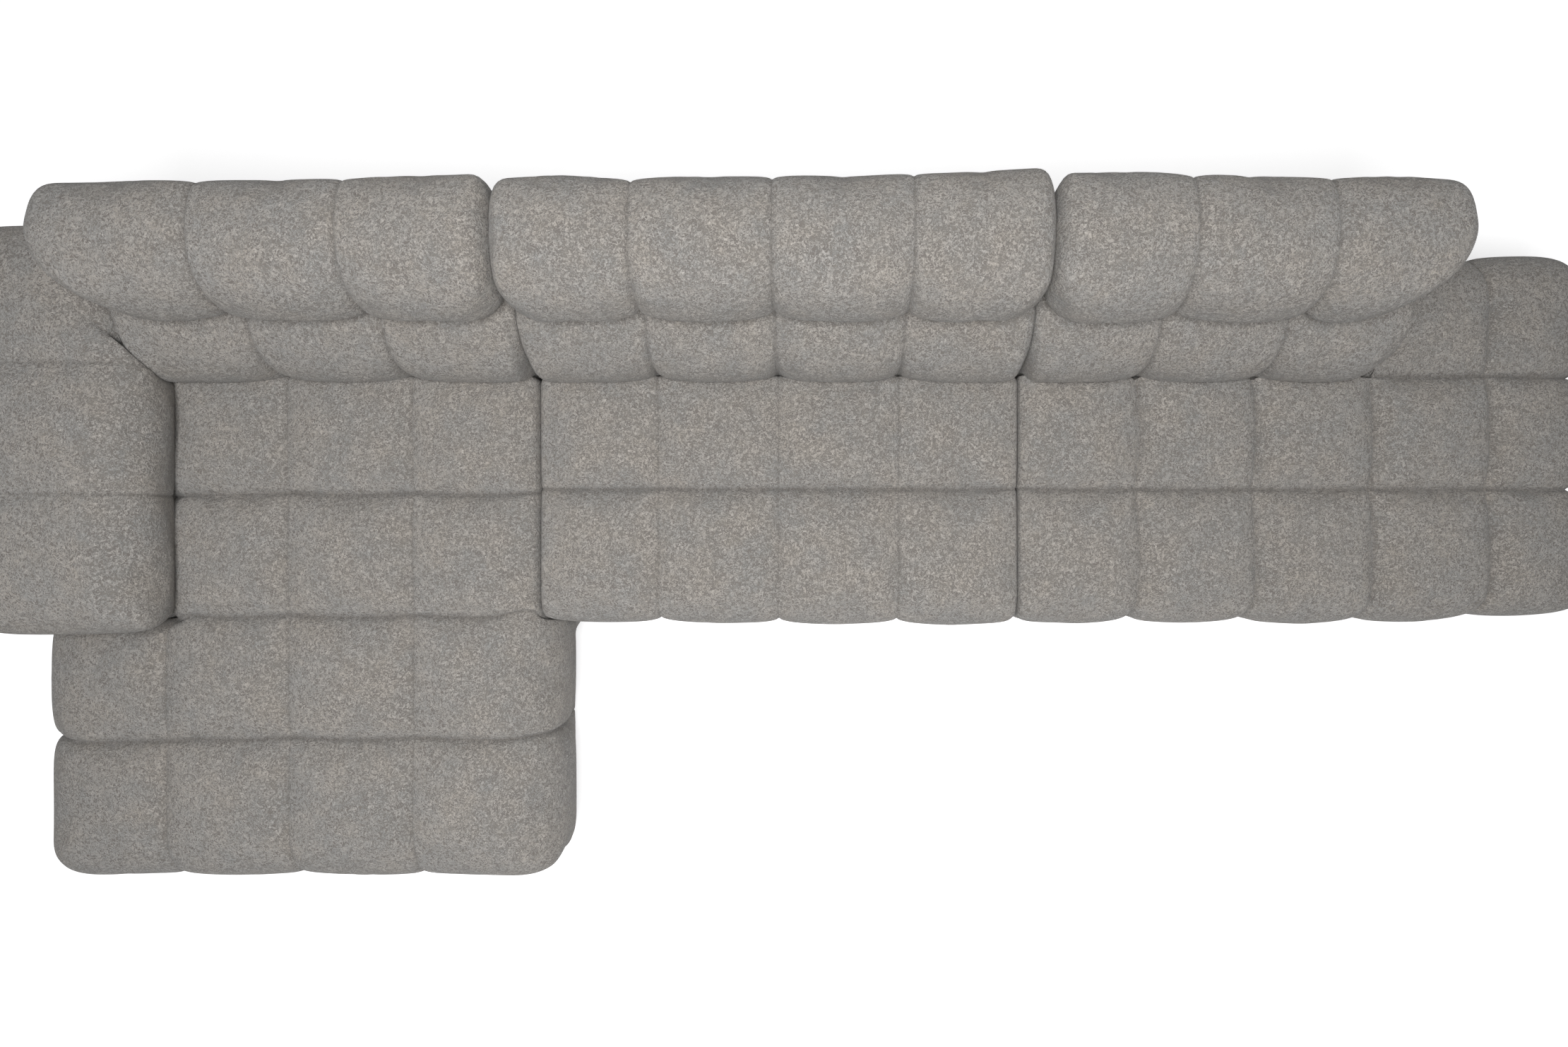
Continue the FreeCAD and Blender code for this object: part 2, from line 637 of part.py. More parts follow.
def hinge(name, x, rail_front, rail_top, board_top, bar_front, bar_end):
    """A hinge at x: a lower leaf on the back's top rail, an upper leaf on the headrest's board, and a pin."""
    low_x = (x - LEAF_GAP - LEAF, x - LEAF_GAP)
    high_x = (x + LEAF_GAP, x + LEAF_GAP + LEAF)

    def on_axis(radius, start, end):
        return rod(radius, Vector(start, AXIS_Y, AXIS_Z), Vector(end, AXIS_Y, AXIS_Z))

    bore = on_axis(PIN_RADIUS + PIN_CLEARANCE, x - HINGE_SLOT, x + HINGE_SLOT)
    waist = HUB_RADIUS - HUB_SHOULDER
    leaf_rear = rail_front + LEAF_DEPTH
    neck = polygon([
        (AXIS_Y - waist, AXIS_Z),
        (rail_front, rail_top),
        (leaf_rear, rail_top),
        (leaf_rear, rail_top + waist),
        (AXIS_Y + waist, AXIS_Z),
    ])
    flange = box((low_x[0] - FLANGE, low_x[0]), (rail_front, leaf_rear), (rail_top, rail_top + LEAF))
    lower = join([push_x(neck, *low_x), on_axis(HUB_RADIUS, *low_x), flange])
    add(name + "_hinge_lower_leaves", lower.cut(bore))

    bar = polygon([
        (AXIS_Y - waist / 2, AXIS_Z + waist),
        (AXIS_Y + waist, AXIS_Z),
        (bar_front, board_top),
        (bar_end, board_top),
        (bar_end, board_top + BAR_HEIGHT),
        (bar_front, board_top + BAR_HEIGHT),
    ])
    upper = join([push_x(bar, *high_x), on_axis(HUB_RADIUS, *high_x)])
    add(name + "_hinge_upper_leaves", upper.cut(bore))

    reach = LEAF_GAP + LEAF + PIN_CLEARANCE
    rim = reach + PIN_HEAD_THICK
    heads = [on_axis(PIN_HEAD_RADIUS, x - rim, x - reach), on_axis(PIN_HEAD_RADIUS, x + reach, x + rim)]
    add(name + "_hinge_pins", join([on_axis(PIN_RADIUS, x - reach, x + reach)] + heads))


def headrest(name, stops, rounds, fixing_xs, hinge_xs, rail_front):
    """A headrest with its cover, foam and board. fixing_xs are the ends of the board's room."""
    base = HEADREST_BASE + HEADREST_UNDER_WALL
    board_top = base + HEADREST_BOARD
    roof = HEADREST_CROWN - HEADREST_WALL - ROOM_TOP_MARGIN
    front, rear = AXIS_Y + ROOM_BEHIND_AXIS, Y_HEADREST_REAR - HEADREST_WALL - ROOM_REAR_MARGIN
    bar_front, bar_end = front + BAR_FROM_FRONT, rear - BAR_FROM_REAR
    brow, brow_drop = ROOM_BROW
    x0, x1 = fixing_xs

    def filling(gap, low):
        return polygon([
            (front + gap, low),
            (AXIS_Y + gap, base + ROOM_NOSE_HEIGHT),
            (AXIS_Y + brow + gap, roof - brow_drop - gap),
            (AXIS_Y + ROOM_BROW_BACK, roof - gap),
            (rear - ROOM_REAR_CHAMFER - gap, roof - gap),
            (rear - gap, roof - ROOM_REAR_CHAMFER - gap),
            (rear - gap, low),
        ])

    body = push_x(headrest_profile(), stops[0] - OVER, stops[-1] + OVER)
    body = body.common(push_y(headrest_face(stops), Y_BACK, Y_REAR + BEYOND))
    body = body.common(push_z(headrest_plan(stops, rounds), BACK_TOP, HEADREST_CROWN + BEYOND))
    body = body.cut(push_x(filling(0.0, base), x0, x1))
    foam = push_x(filling(FIT, board_top + FIT), x0 + FIT, x1 - FIT)
    board = box((x0 + FIT, x1 - FIT), (front + BOARD_FROM_FRONT, rear - FIT), (base + FIT, board_top))

    slot_top = board_top + BAR_HEIGHT + SLOT_ROOM
    for x in hinge_xs:
        hinge(name, x, rail_front, BACK_CAVITY_TOP - FIT, board_top, bar_front, bar_end)
        wide = (x - HINGE_SLOT / 2, x + HINGE_SLOT / 2)
        narrow = (x + LEAF_GAP - FIT, x + LEAF_GAP + LEAF + FIT)
        slot = box(wide, (AXIS_Y - HUB_RADIUS - SLOT_ROOM, bar_front + FIT), (BACK_TOP, slot_top))
        body = body.cut(slot)
        board = board.cut(slot)
        foam = foam.cut(slot).cut(box(narrow, (front, bar_end + FIT), (base, board_top + BAR_HEIGHT + FIT)))
    add(name + "_headrest_cover", body)
    add(name + "_headrest_foam", foam)
    add(name + "_headrest_board", board)


def arm():
    """The arm: a boarded box under foam, in a cover that leans over the seat. Returns its bolts' holes."""
    inner, widest = X_ARM - HALF_GAP, X_ARM - HALF_GAP + ARM_SWELL
    front, rear = Y_CHAISE_ROW_2 + HALF_GAP, Y_REAR + ARM_PAST_REAR
    shoulder = ARM_CROWN - ARM_SHOULDER_DROP
    swell_height = ARM_CROWN - ARM_SWELL_DROP
    across = Outline((X_LEFT + TUCK, BOTTOM))
    across.arc((X_LEFT, between(BOTTOM, shoulder)), (X_LEFT + SHOULDER_IN, shoulder))
    roll = ARM_CROWN - swell_height
    across.arc((between(X_LEFT, inner), ARM_CROWN), (widest - roll, ARM_CROWN - ARM_TOP_DROP))
    across.arc((widest - roll * QUARTER, ARM_CROWN - roll * QUARTER), (widest, swell_height))
    ledge = SEAT_CROWN - ARM_LEDGE_DROP
    across.swing((0, -1), (inner + ARM_LEDGE, ledge)).line((inner, ledge)).line((inner, BOTTOM))
    along = Outline((front, BOTTOM)).line((front, SEAT_CROWN))
    along.arc((front - ARM_FRONT_SWELL, swell_height), (front, between(ARM_CROWN, swell_height)))
    for stop in (Y_CHAISE_ROW_3, Y_BACK):
        along.arc((between(along.here[0], stop), ARM_CROWN), (stop, ARM_VALLEY))
    along.arc((between(Y_BACK, rear), ARM_CROWN), (rear - SHOULDER_IN, shoulder))
    along.arc((rear, between(BOTTOM, shoulder)), (rear - TUCK / 2, BOTTOM))
    xs = [X_LEFT, widest + OVER]
    ys = [front - ARM_FRONT_SWELL, Y_CHAISE_ROW_3, Y_BACK, rear]
    body = push_y(across, front - BEYOND, rear + BEYOND)
    body = body.common(push_x(along, X_LEFT - BEYOND, X_ARM + BEYOND))
    plan = quilted_plan(xs, ys, {"left", "front", "rear"}, SEAM_NOTCH / 2)
    body = body.common(push_z(plan, 0, ARM_CROWN + BEYOND))
    body = body.cut(push_x(back_profile(MODULE_GAP), inner, widest + OVER))

    room = (X_LEFT + ARM_WALL, inner - BUTT_WALL), (front + BUTT_WALL, rear - ARM_WALL)
    limits = drawn_in(room)
    (x0, x1), (y0, y1) = limits
    board_top = ARM_FRAME_TOP - BOARD
    seat_rail = X_ARM + HALF_GAP + BUTT_WALL + FIT + BOARD
    holes = [
        bolt(Vector(seat_rail, y, BOLT_HEIGHT), Vector(x1 - BOARD, y, BOLT_HEIGHT))
        for y in (Y_CHAISE_ROW_3 - BOLT_INSET, Y_CHAISE_ROW_3 + BOLT_INSET)
    ]
    inside = (x0 + BOARD, x1 - BOARD)
    add("arm_cover", cut_all(body.cut(box(*room, (0, ARM_CAVITY_TOP))), holes))
    add(
        "arm_frame",
        box((x0, x0 + BOARD), (y0, y1), (BOTTOM, board_top)),
        cut_all(box((x1 - BOARD, x1), (y0, y1), (BOTTOM, board_top)), holes),
        box(inside, (y0, y0 + BOARD), (BOTTOM, board_top)),
        box(inside, (y1 - BOARD, y1), (BOTTOM, board_top)),
        box((x0, x1), (y0, y1), (board_top, ARM_FRAME_TOP)),
    )
    add("arm_foam", box((x0, x1), (y0, y1), (ARM_FRAME_TOP + FIT, ARM_CAVITY_TOP - FIT)))
    studs = [stand(limits, -1, side) for side in (-1, 1)]
    add("arm_dust_cover", dust_sheet(limits, studs))
    return holes


def connectors():
    """Steel plates screwed under the side rails at the joints between modules. Returns the screws' holes."""
    holes = []
    offset = HALF_GAP + BUTT_WALL + FIT + BOARD / 2
    low = FOOT_HEIGHT - PLATE_THICK
    for x in (X_CHAISE_END, X_MIDDLE_END):
        for y in (Y_SEAT_FRONT + PLATE_FROM_FRONT, Y_BACK - PLATE_FROM_BACK):
            half_x, half_y = PLATE_WIDTH / 2, PLATE_LENGTH / 2
            plate = box((x - half_x, x + half_x), (y - half_y, y + half_y), (low, FOOT_HEIGHT))
            for dx in (-offset, offset):
                for dy in (-SCREW_SPACING / 2, SCREW_SPACING / 2):
                    start = Vector(x + dx, y + dy, low)
                    end = start.add(Vector(0, 0, SCREW_LENGTH))
                    head = rod(2 * SCREW_RADIUS, start.sub(Vector(0, 0, SCREW_RADIUS)), start)
                    over = Vector(0, 0, OVER)
                    hole = rod(SCREW_RADIUS + PIN_CLEARANCE, start.sub(over), end.add(over))
                    add("connector_screws", rod(SCREW_RADIUS, start, end).fuse(head))
                    plate = plate.cut(hole)
                    holes.append(hole)
            add("connector_plates", plate)
    return holes


def main():
    rear = Y_BACK - HALF_GAP
    chaise_stops = seams(X_ARM, CHAISE_CELLS, CHAISE_CELL)
    middle_stops = seams(X_CHAISE_END, MIDDLE_CELLS, MIDDLE_CELL)
    end_stops = seams(X_MIDDLE_END, END_CELLS, END_CELL)
    arm_holes = arm()
    screw_holes = connectors()

    arm_joint = X_ARM + HALF_GAP
    chaise_joint = (X_CHAISE_END - HALF_GAP, X_CHAISE_END + HALF_GAP)
    middle_joint = (X_MIDDLE_END - HALF_GAP, X_MIDDLE_END + HALF_GAP)
    open_joint = (X_OPEN - HALF_GAP, X_OPEN + HALF_GAP)
    inner_round = BACK_INNER_ROUND
    backs = {
        "chaise": (
            [arm_joint] + chaise_stops[1:-1] + [chaise_joint[0]],
            (BACK_ARM_ROUND, inner_round),
            (HEADREST_OVER_ARM, 0.0),
        ),
        "middle": (
            [chaise_joint[1]] + middle_stops[1:-1] + [middle_joint[0]],
            (inner_round, inner_round),
            (0.0, 0.0),
        ),
        "end": (
            [middle_joint[1]] + end_stops[1:END_BACK_CELLS] + [open_joint[0]],
            (inner_round, BACK_OPEN_ROUND),
            (0.0, HEADREST_OVER_END),
        ),
    }
    back_holes = {}
    for name, (stops, rounds, overs) in backs.items():
        hinge_xs = (between(*stops[:2]), between(*stops[-2:]))
        head_rounds = [HEADREST_OUTER_ROUND if over else BACK_INNER_ROUND for over in overs]
        head_stops = [stops[0] - overs[0]] + stops[1:-1] + [stops[-1] + overs[1]]
        fixing_xs = (stops[0] + 2 * HEADREST_WALL, stops[-1] - 2 * HEADREST_WALL)
        back_holes[name], rail_front = back(name, stops, rounds, hinge_xs)
        headrest(name, head_stops, head_rounds, fixing_xs, hinge_xs, rail_front)

    chaise_rear = (
        [arm_joint] + chaise_stops[1:-1] + [chaise_joint[0]],
        [Y_CHAISE_ROW_2, Y_CHAISE_ROW_3, rear],
        set(),
    )
    chaise_front = (
        [X_LEFT] + chaise_stops[:-1] + [X_CHAISE_END + CHAISE_FRONT_SWELL],
        [Y_FRONT, Y_CHAISE_ROW_1, Y_CHAISE_ROW_2],
        {"left", "right", "front"},
    )
    middle_pad = (
        [chaise_joint[1]] + middle_stops[1:-1] + [middle_joint[0]],
        [Y_SEAT_FRONT, Y_ROW, rear],
        {"front"},
    )
    end_pad = (
        [middle_joint[1]] + end_stops[1:],
        [Y_SEAT_FRONT, Y_ROW, rear],
        {"front", "right"},
    )
    end_open = (
        [open_joint[1]] + end_stops[END_BACK_CELLS + 1 :],
        [rear, Y_REAR],
        {"rear", "right"},
    )
    fronts = [(-1, -1), (1, -1)]
    all_round = fronts + [(-1, 1), (1, 1)]
    chaise_holes = arm_holes + back_holes["chaise"] + screw_holes
    seat_base("chaise", [chaise_rear, chaise_front], [[], all_round], chaise_holes)
    seat_base("middle", [middle_pad], [fronts], back_holes["middle"] + screw_holes)
    seat_base("end", [end_open, end_pad], [[(1, 1)], fronts], back_holes["end"] + screw_holes)

    os.makedirs("parts", exist_ok=True)
    for name, solids in pieces.items():
        for solid in solids:
            if not solid.isValid() or len(solid.Solids) != 1:
                print("Check", name, "with", len(solid.Solids), "solids in one piece")
        Part.makeCompound(solids).exportStep("parts/" + name + ".step")
    print(len(pieces), "nodes")


main()
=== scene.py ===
import math

import bmesh
import bpy
import numpy as np
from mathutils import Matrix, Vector


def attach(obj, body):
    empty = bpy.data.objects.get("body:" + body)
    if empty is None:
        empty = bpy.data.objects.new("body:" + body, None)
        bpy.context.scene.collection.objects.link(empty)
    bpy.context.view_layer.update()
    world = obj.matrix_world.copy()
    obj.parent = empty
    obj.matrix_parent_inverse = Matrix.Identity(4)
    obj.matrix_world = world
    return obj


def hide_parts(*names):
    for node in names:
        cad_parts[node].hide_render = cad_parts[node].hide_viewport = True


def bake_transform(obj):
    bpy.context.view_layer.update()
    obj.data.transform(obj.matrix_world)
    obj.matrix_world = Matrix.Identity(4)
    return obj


# A modular sectional sofa in metres: a chaise with the only arm, an armless middle and an open end.
# X runs to the right, Y to the rear, and the floor is Z = 0.

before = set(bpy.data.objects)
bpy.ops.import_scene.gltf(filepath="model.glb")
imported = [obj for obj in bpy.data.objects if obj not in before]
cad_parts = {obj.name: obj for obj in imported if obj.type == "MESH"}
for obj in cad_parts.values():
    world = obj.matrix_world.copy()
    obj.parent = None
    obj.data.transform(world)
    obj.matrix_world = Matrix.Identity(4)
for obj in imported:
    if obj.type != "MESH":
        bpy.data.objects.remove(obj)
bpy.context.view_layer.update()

# Seams between the sewn cells, and the edges of the modules
CHAISE_COLUMNS = (-1.6147, -1.305, -0.995, -0.6853)
MIDDLE_COLUMNS = (-0.6847, -0.385, -0.085, 0.215, 0.5147)
END_COLUMNS = (0.5153, 0.807, 1.099, 1.391, 1.683, 1.975)
LEFT = -1.975
CHAISE_ROWS = (-0.822, -0.459, -0.152, 0.155, 0.4577)
SEAT_ROWS = (-0.161, 0.174, 0.4577)
BACK_FACE = 0.4583
REAR = 0.776
ARM_REAR = 0.782
ARM_FRONT = -0.1517
ARM_SIDE = -1.6153
OPEN_SIDE = 1.3913  # where the end module's back stops and its open cells begin
CHAISE_SWELL = 0.038  # the chaise's front part is this much wider than its rear part

# Heights
HEM = 0.0455
SEAT_TOP = 0.462
ARM_TOP = 0.662
BACK_TOP = 0.667
SWELL_LOW = 0.42  # the lower backs swell above this
HEADREST_FRONT = 0.541
HEADREST_MIDDLE = (0.690, 0.775)  # depth and height of the headrest's middle line
GUSSET_DEPTH = 0.70
GUSSET_THICKNESS = 0.0025
GUSSET_HEIGHTS = (0.656, 0.684)

# Cloth
PITCH = 0.0165
SEAM_STRIP = 0.005  # first mesh line beside a seam
ROW_DROP = 0.028
TRAVEL = 0.016  # how far the simulation may move the cloth



def smooth(t):
    t = np.clip(t, 0.0, 1.0)
    return t * t * (3 - 2 * t)


def mesh_lines(stops, pitch=PITCH, seams=None):
    """Mesh lines from the first stop to the last: one on each stop, and one close beside each seam."""
    seams = stops[1:-1] if seams is None else seams
    lines = [stops[0]]
    for low, high in zip(stops, stops[1:]):
        start = low + SEAM_STRIP if low in seams else low
        end = high - SEAM_STRIP if high in seams else high
        if start > low:
            lines.append(start)
        count = max(2, round((end - start) / pitch))
        lines.extend(start + (end - start) * i / count for i in range(1, count + 1))
        if end < high:
            lines.append(high)
    return np.array(lines)


def shell(us, vs, ws, filled=None):
    """The outside of the filled cells of a lattice, as lattice points and quads that face outwards."""
    shape = (len(us), len(vs), len(ws))
    if filled is None:
        filled = np.ones((shape[0] - 1, shape[1] - 1, shape[2] - 1), bool)
    padded = np.pad(filled, 1)
    index = np.arange(shape[0] * shape[1] * shape[2]).reshape(shape)
    quads = []
    for axis in range(3):
        b, c = (axis + 1) % 3, (axis + 2) % 3
        for side in (1, -1):
            empty = ~np.roll(padded, -side, axis)[1:-1, 1:-1, 1:-1]
            cells = np.argwhere(filled & empty)
            corner = cells.copy()
            if side == 1:
                corner[:, axis] += 1
            steps = [(0, 0), (1, 0), (1, 1), (0, 1)]
            if side == -1:
                steps.reverse()
            ring = []
            for step_b, step_c in steps:
                at = corner.copy()
                at[:, b] += step_b
                at[:, c] += step_c
                ring.append(index[at[:, 0], at[:, 1], at[:, 2]])
            quads.append(np.stack(ring, 1))
    quads = np.concatenate(quads)
    used, quads = np.unique(quads, return_inverse=True)
    quads = quads.reshape(-1, 4)
    i, j, k = np.unravel_index(used, shape)
    return np.stack([us[i], vs[j], ws[k]], 1), quads


def new_piece(name, points, faces):
    mesh = bpy.data.meshes.new(name)
    mesh.from_pydata(points.tolist(), [], faces.tolist() if isinstance(faces, np.ndarray) else faces)
    mesh.update()
    mesh.shade_smooth()
    piece = bpy.data.objects.new(name, mesh)
    bpy.context.scene.collection.objects.link(piece)
    return piece


def get_points(piece):
    points = np.empty(len(piece.data.vertices) * 3, np.float32)
    piece.data.vertices.foreach_get("co", points)
    return points.reshape(-1, 3).astype(float)


def set_points(piece, points):
    piece.data.vertices.foreach_set("co", points.astype(np.float32).ravel())
    piece.data.update()


def get_normals(piece):
    normals = np.empty(len(piece.data.vertices) * 3, np.float32)
    piece.data.vertex_normals.foreach_get("vector", normals)
    return normals.reshape(-1, 3).astype(float)


def keep_place(piece, place):
    """Stores where each point lies on the flat pattern, so that it survives subdivision."""
    attribute = piece.data.attributes.new("pattern", "FLOAT_VECTOR", "POINT")
    attribute.data.foreach_set("vector", place.astype(np.float32).ravel())


def read_place(piece):
    place = np.empty(len(piece.data.vertices) * 3, np.float32)
    piece.data.attributes["pattern"].data.foreach_get("vector", place)
    return place.reshape(-1, 3).astype(float)


def apply_modifiers(piece):
    depsgraph = bpy.context.evaluated_depsgraph_get()
    mesh = bpy.data.meshes.new_from_object(piece.evaluated_get(depsgraph))
    old = piece.data
    piece.modifiers.clear()
    piece.vertex_groups.clear()
    piece.data = mesh
    mesh.name = piece.name
    bpy.data.meshes.remove(old)


def subdivide(piece, levels=1):
    modifier = piece.modifiers.new("subdivision", "SUBSURF")
    modifier.levels = levels
    modifier.render_levels = levels
    apply_modifiers(piece)


def seam_nearness(at, seams, reach):
    """1 on a seam, falling to 0 half a cell away from it."""
    nearest = np.full(len(at), 10.0)
    for seam in seams:
        nearest = np.minimum(nearest, np.abs(at - seam))
    return np.clip(1 - nearest / reach, 0.0, 1.0)


def hollow(nearness, flatness):
    """How deep a sewn cell's surface lies, from 0 at its crown to 1 on the seam."""
    return 1 - np.power(np.clip(1 - np.power(nearness, flatness), 0.0, 1.0), 1 / flatness)


def waves(points, pace, seed):
    """A smooth random field between about -1 and 1."""
    source = np.random.default_rng(seed)
    total = np.zeros(len(points))
    for i in range(6):
        way = source.normal(size=3)
        way /= np.linalg.norm(way)
        total += np.sin(points @ way * pace * (0.6 + 0.25 * i) + source.uniform(0, 6.28))
    return total / 2.5


def cell_hump(at, stops):
    """0 on the stops, rising to 1 halfway between them."""
    low = np.clip(np.searchsorted(stops, at, "right") - 1, 0, len(stops) - 2)
    stops = np.array(stops)
    return np.sin(math.pi * np.clip((at - stops[low]) / (stops[low + 1] - stops[low]), 0, 1))


def roll_over(points, low, high, radii, heights, roundness=2.2, corner=3.5):
    """Rounds a block's sides over its top. radii and heights give each side's roll: left, right, front, rear.

    Returns the new points, and how near each one is to each side."""
    x, y, z = points.T
    left, right, front, rear = radii
    near = [
        np.clip((low[0] + left - x) / left, 0, 1),
        np.clip((x - high[0] + right) / right, 0, 1),
        np.clip((low[1] + front - y) / front, 0, 1),
        np.clip((y - high[1] + rear) / rear, 0, 1),
    ]
    weight = sum(near[i] ** 2 for i in range(4)) + 1e-9
    tall = np.maximum(sum(near[i] ** 2 * heights[i] for i in range(4)) / weight, 0.01)
    qx = np.maximum(near[0], near[1])
    qy = np.maximum(near[2], near[3])
    qz = np.clip((z - high[2] + tall) / tall, 0, 1)
    # Corners are squarer low down, where the frame stands
    corner = corner + 9.0 * smooth((0.26 - z) / 0.16)
    plan = (qx**corner + qy**corner) ** (roundness / corner)
    norm = (plan + qz**roundness) ** (1 / roundness)
    largest = np.maximum(np.maximum(qx, qy), qz)
    pull = np.where(norm > 0, largest / np.maximum(norm, 1e-9), 1.0) - 1.0
    shift_x = pull * (near[1] * right - near[0] * left)
    shift_y = pull * (near[3] * rear - near[2] * front)
    return points + np.stack([shift_x, shift_y, qz * pull * tall], 1), near


def press_in(piece, points, drop, flat, climb):
    """Sinks the surface along its normals. Where flat is 1, beside a neighbour, it sinks straight down only."""
    normals = get_normals(piece)
    down = drop * np.maximum(normals[:, 2], 0.7 * flat * climb**2)
    aside = normals[:, :2] * (drop * (1 - flat))[:, None]
    set_points(piece, points - np.column_stack([aside, down]))


def inflate(piece, held, travel=TRAVEL, pressure=4.0, growth=0.012):
    """Blows the cover up between its held points with a cloth simulation."""
    start = get_points(piece)
    group = piece.vertex_groups.new(name="held")
    for level in (1.0, 0.6):
        chosen = np.flatnonzero(np.isclose(held, level)).tolist()
        if chosen:
            group.add(chosen, level, "REPLACE")
    modifier = piece.modifiers.new("cloth", "CLOTH")
    cloth = modifier.settings
    cloth.quality = 4
    cloth.mass = 0.35
    cloth.tension_stiffness = 12
    cloth.compression_stiffness = 12
    cloth.shear_stiffness = 6
    cloth.bending_stiffness = 0.6
    cloth.vertex_group_mass = "held"
    cloth.pin_stiffness = 1.0
    cloth.use_pressure = True
    cloth.uniform_pressure_force = pressure
    cloth.shrink_min = -growth
    cloth.effector_weights.gravity = 0.0
    modifier.collision_settings.use_collision = False
    modifier.point_cache.frame_start = 1
    modifier.point_cache.frame_end = 20
    for number in range(1, 21):
        bpy.context.scene.frame_set(number)
    depsgraph = bpy.context.evaluated_depsgraph_get()
    moved = np.empty(len(start) * 3, np.float32)
    piece.evaluated_get(depsgraph).data.vertices.foreach_get("co", moved)
    piece.modifiers.clear()
    piece.vertex_groups.clear()
    bpy.context.scene.frame_set(1)
    step = moved.reshape(-1, 3).astype(float) - start
    length = np.linalg.norm(step, axis=1, keepdims=True)
    capped = travel * np.tanh(length / travel)
    step = np.where(np.isfinite(step), step * capped / np.maximum(length, 1e-9), 0.0)
    set_points(piece, start + step)


def stitch_group():
    """Node group that lays short stitches along the edges of a mesh."""
    tree = bpy.data.node_groups.new("stitches", "GeometryNodeTree")
    interface = tree.interface
    interface.new_socket("Geometry", in_out="INPUT", socket_type="NodeSocketGeometry")
    for name, default in (("Pitch", 0.0075), ("Thickness", 0.0008), ("Stretch", 3.2)):
        interface.new_socket(name, in_out="INPUT", socket_type="NodeSocketFloat").default_value = default
    interface.new_socket("Seed", in_out="INPUT", socket_type="NodeSocketInt").default_value = 5
    interface.new_socket("Thread", in_out="INPUT", socket_type="NodeSocketMaterial")
    interface.new_socket("Geometry", in_out="OUTPUT", socket_type="NodeSocketGeometry")

    def node(kind, **sockets):
        new = tree.nodes.new(kind)
        for name, value in sockets.items():
            socket = new.inputs[name.replace("_", " ")]
            if isinstance(value, bpy.types.NodeSocket):
                tree.links.new(value, socket)
            else:
                socket.default_value = value
        return new

    given = tree.nodes.new("NodeGroupInput").outputs
    curve = node("GeometryNodeMeshToCurve", Mesh=given["Geometry"]).outputs["Curve"]
    resample = node("GeometryNodeResampleCurve", Curve=curve)
    resample.mode = "LENGTH"
    tree.links.new(given["Pitch"], next(item for item in resample.inputs if item.identifier == "Length"))
    bead = node("GeometryNodeMeshUVSphere", Segments=5, Rings=3, Radius=given["Thickness"])
    tangent = node("GeometryNodeInputTangent").outputs[0]
    turn = node("FunctionNodeAlignRotationToVector", Vector=tangent)
    turn.axis = "Z"
    spread = tree.nodes.new("FunctionNodeRandomValue")
    spread.data_type = "FLOAT"
    spread.inputs[2].default_value = 0.85
    spread.inputs[3].default_value = 1.15
    tree.links.new(given["Seed"], spread.inputs["Seed"])
    longer = node("ShaderNodeMath")
    longer.operation = "MULTIPLY"
    tree.links.new(spread.outputs[1], longer.inputs[0])
    tree.links.new(given["Stretch"], longer.inputs[1])
    scale = node("ShaderNodeCombineXYZ", X=1.0, Y=1.0, Z=longer.outputs[0])
    placed = node(
        "GeometryNodeInstanceOnPoints",
        Points=resample.outputs["Curve"],
        Instance=bead.outputs["Mesh"],
        Rotation=turn.outputs["Rotation"],
        Scale=scale.outputs["Vector"],
    )
    real = node("GeometryNodeRealizeInstances", Geometry=placed.outputs["Instances"])
    painted = node("GeometryNodeSetMaterial", Geometry=real.outputs["Geometry"], Material=given["Thread"])
    tree.links.new(painted.outputs["Geometry"], tree.nodes.new("NodeGroupOutput").inputs["Geometry"])
    return tree


def stitch(name, points, edges, body):
    """A stitched thread along the given edges, as one plain mesh."""
    used, flat = np.unique(edges, return_inverse=True)
    mesh = bpy.data.meshes.new(name + "_line")
    mesh.from_pydata(points[used].tolist(), flat.reshape(-1, 2).tolist(), [])
    line = bpy.data.objects.new(name + "_line", mesh)
    bpy.context.scene.collection.objects.link(line)
    modifier = line.modifiers.new("stitches", "NODES")
    modifier.node_group = STITCHES
    inputs = {item.name: item.identifier for item in STITCHES.interface.items_tree if item.in_out == "INPUT"}
    modifier[inputs["Seed"]] = len(name)
    modifier[inputs["Thread"]] = THREAD
    depsgraph = bpy.context.evaluated_depsgraph_get()
    sewn = bpy.data.meshes.new_from_object(line.evaluated_get(depsgraph))
    sewn.name = name
    bpy.data.objects.remove(line)
    bpy.data.meshes.remove(mesh)
    piece = bpy.data.objects.new(name, sewn)
    bpy.context.scene.collection.objects.link(piece)
    sewn.polygons.foreach_set("use_smooth", [True] * len(sewn.polygons))
    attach(piece, body)
    return piece


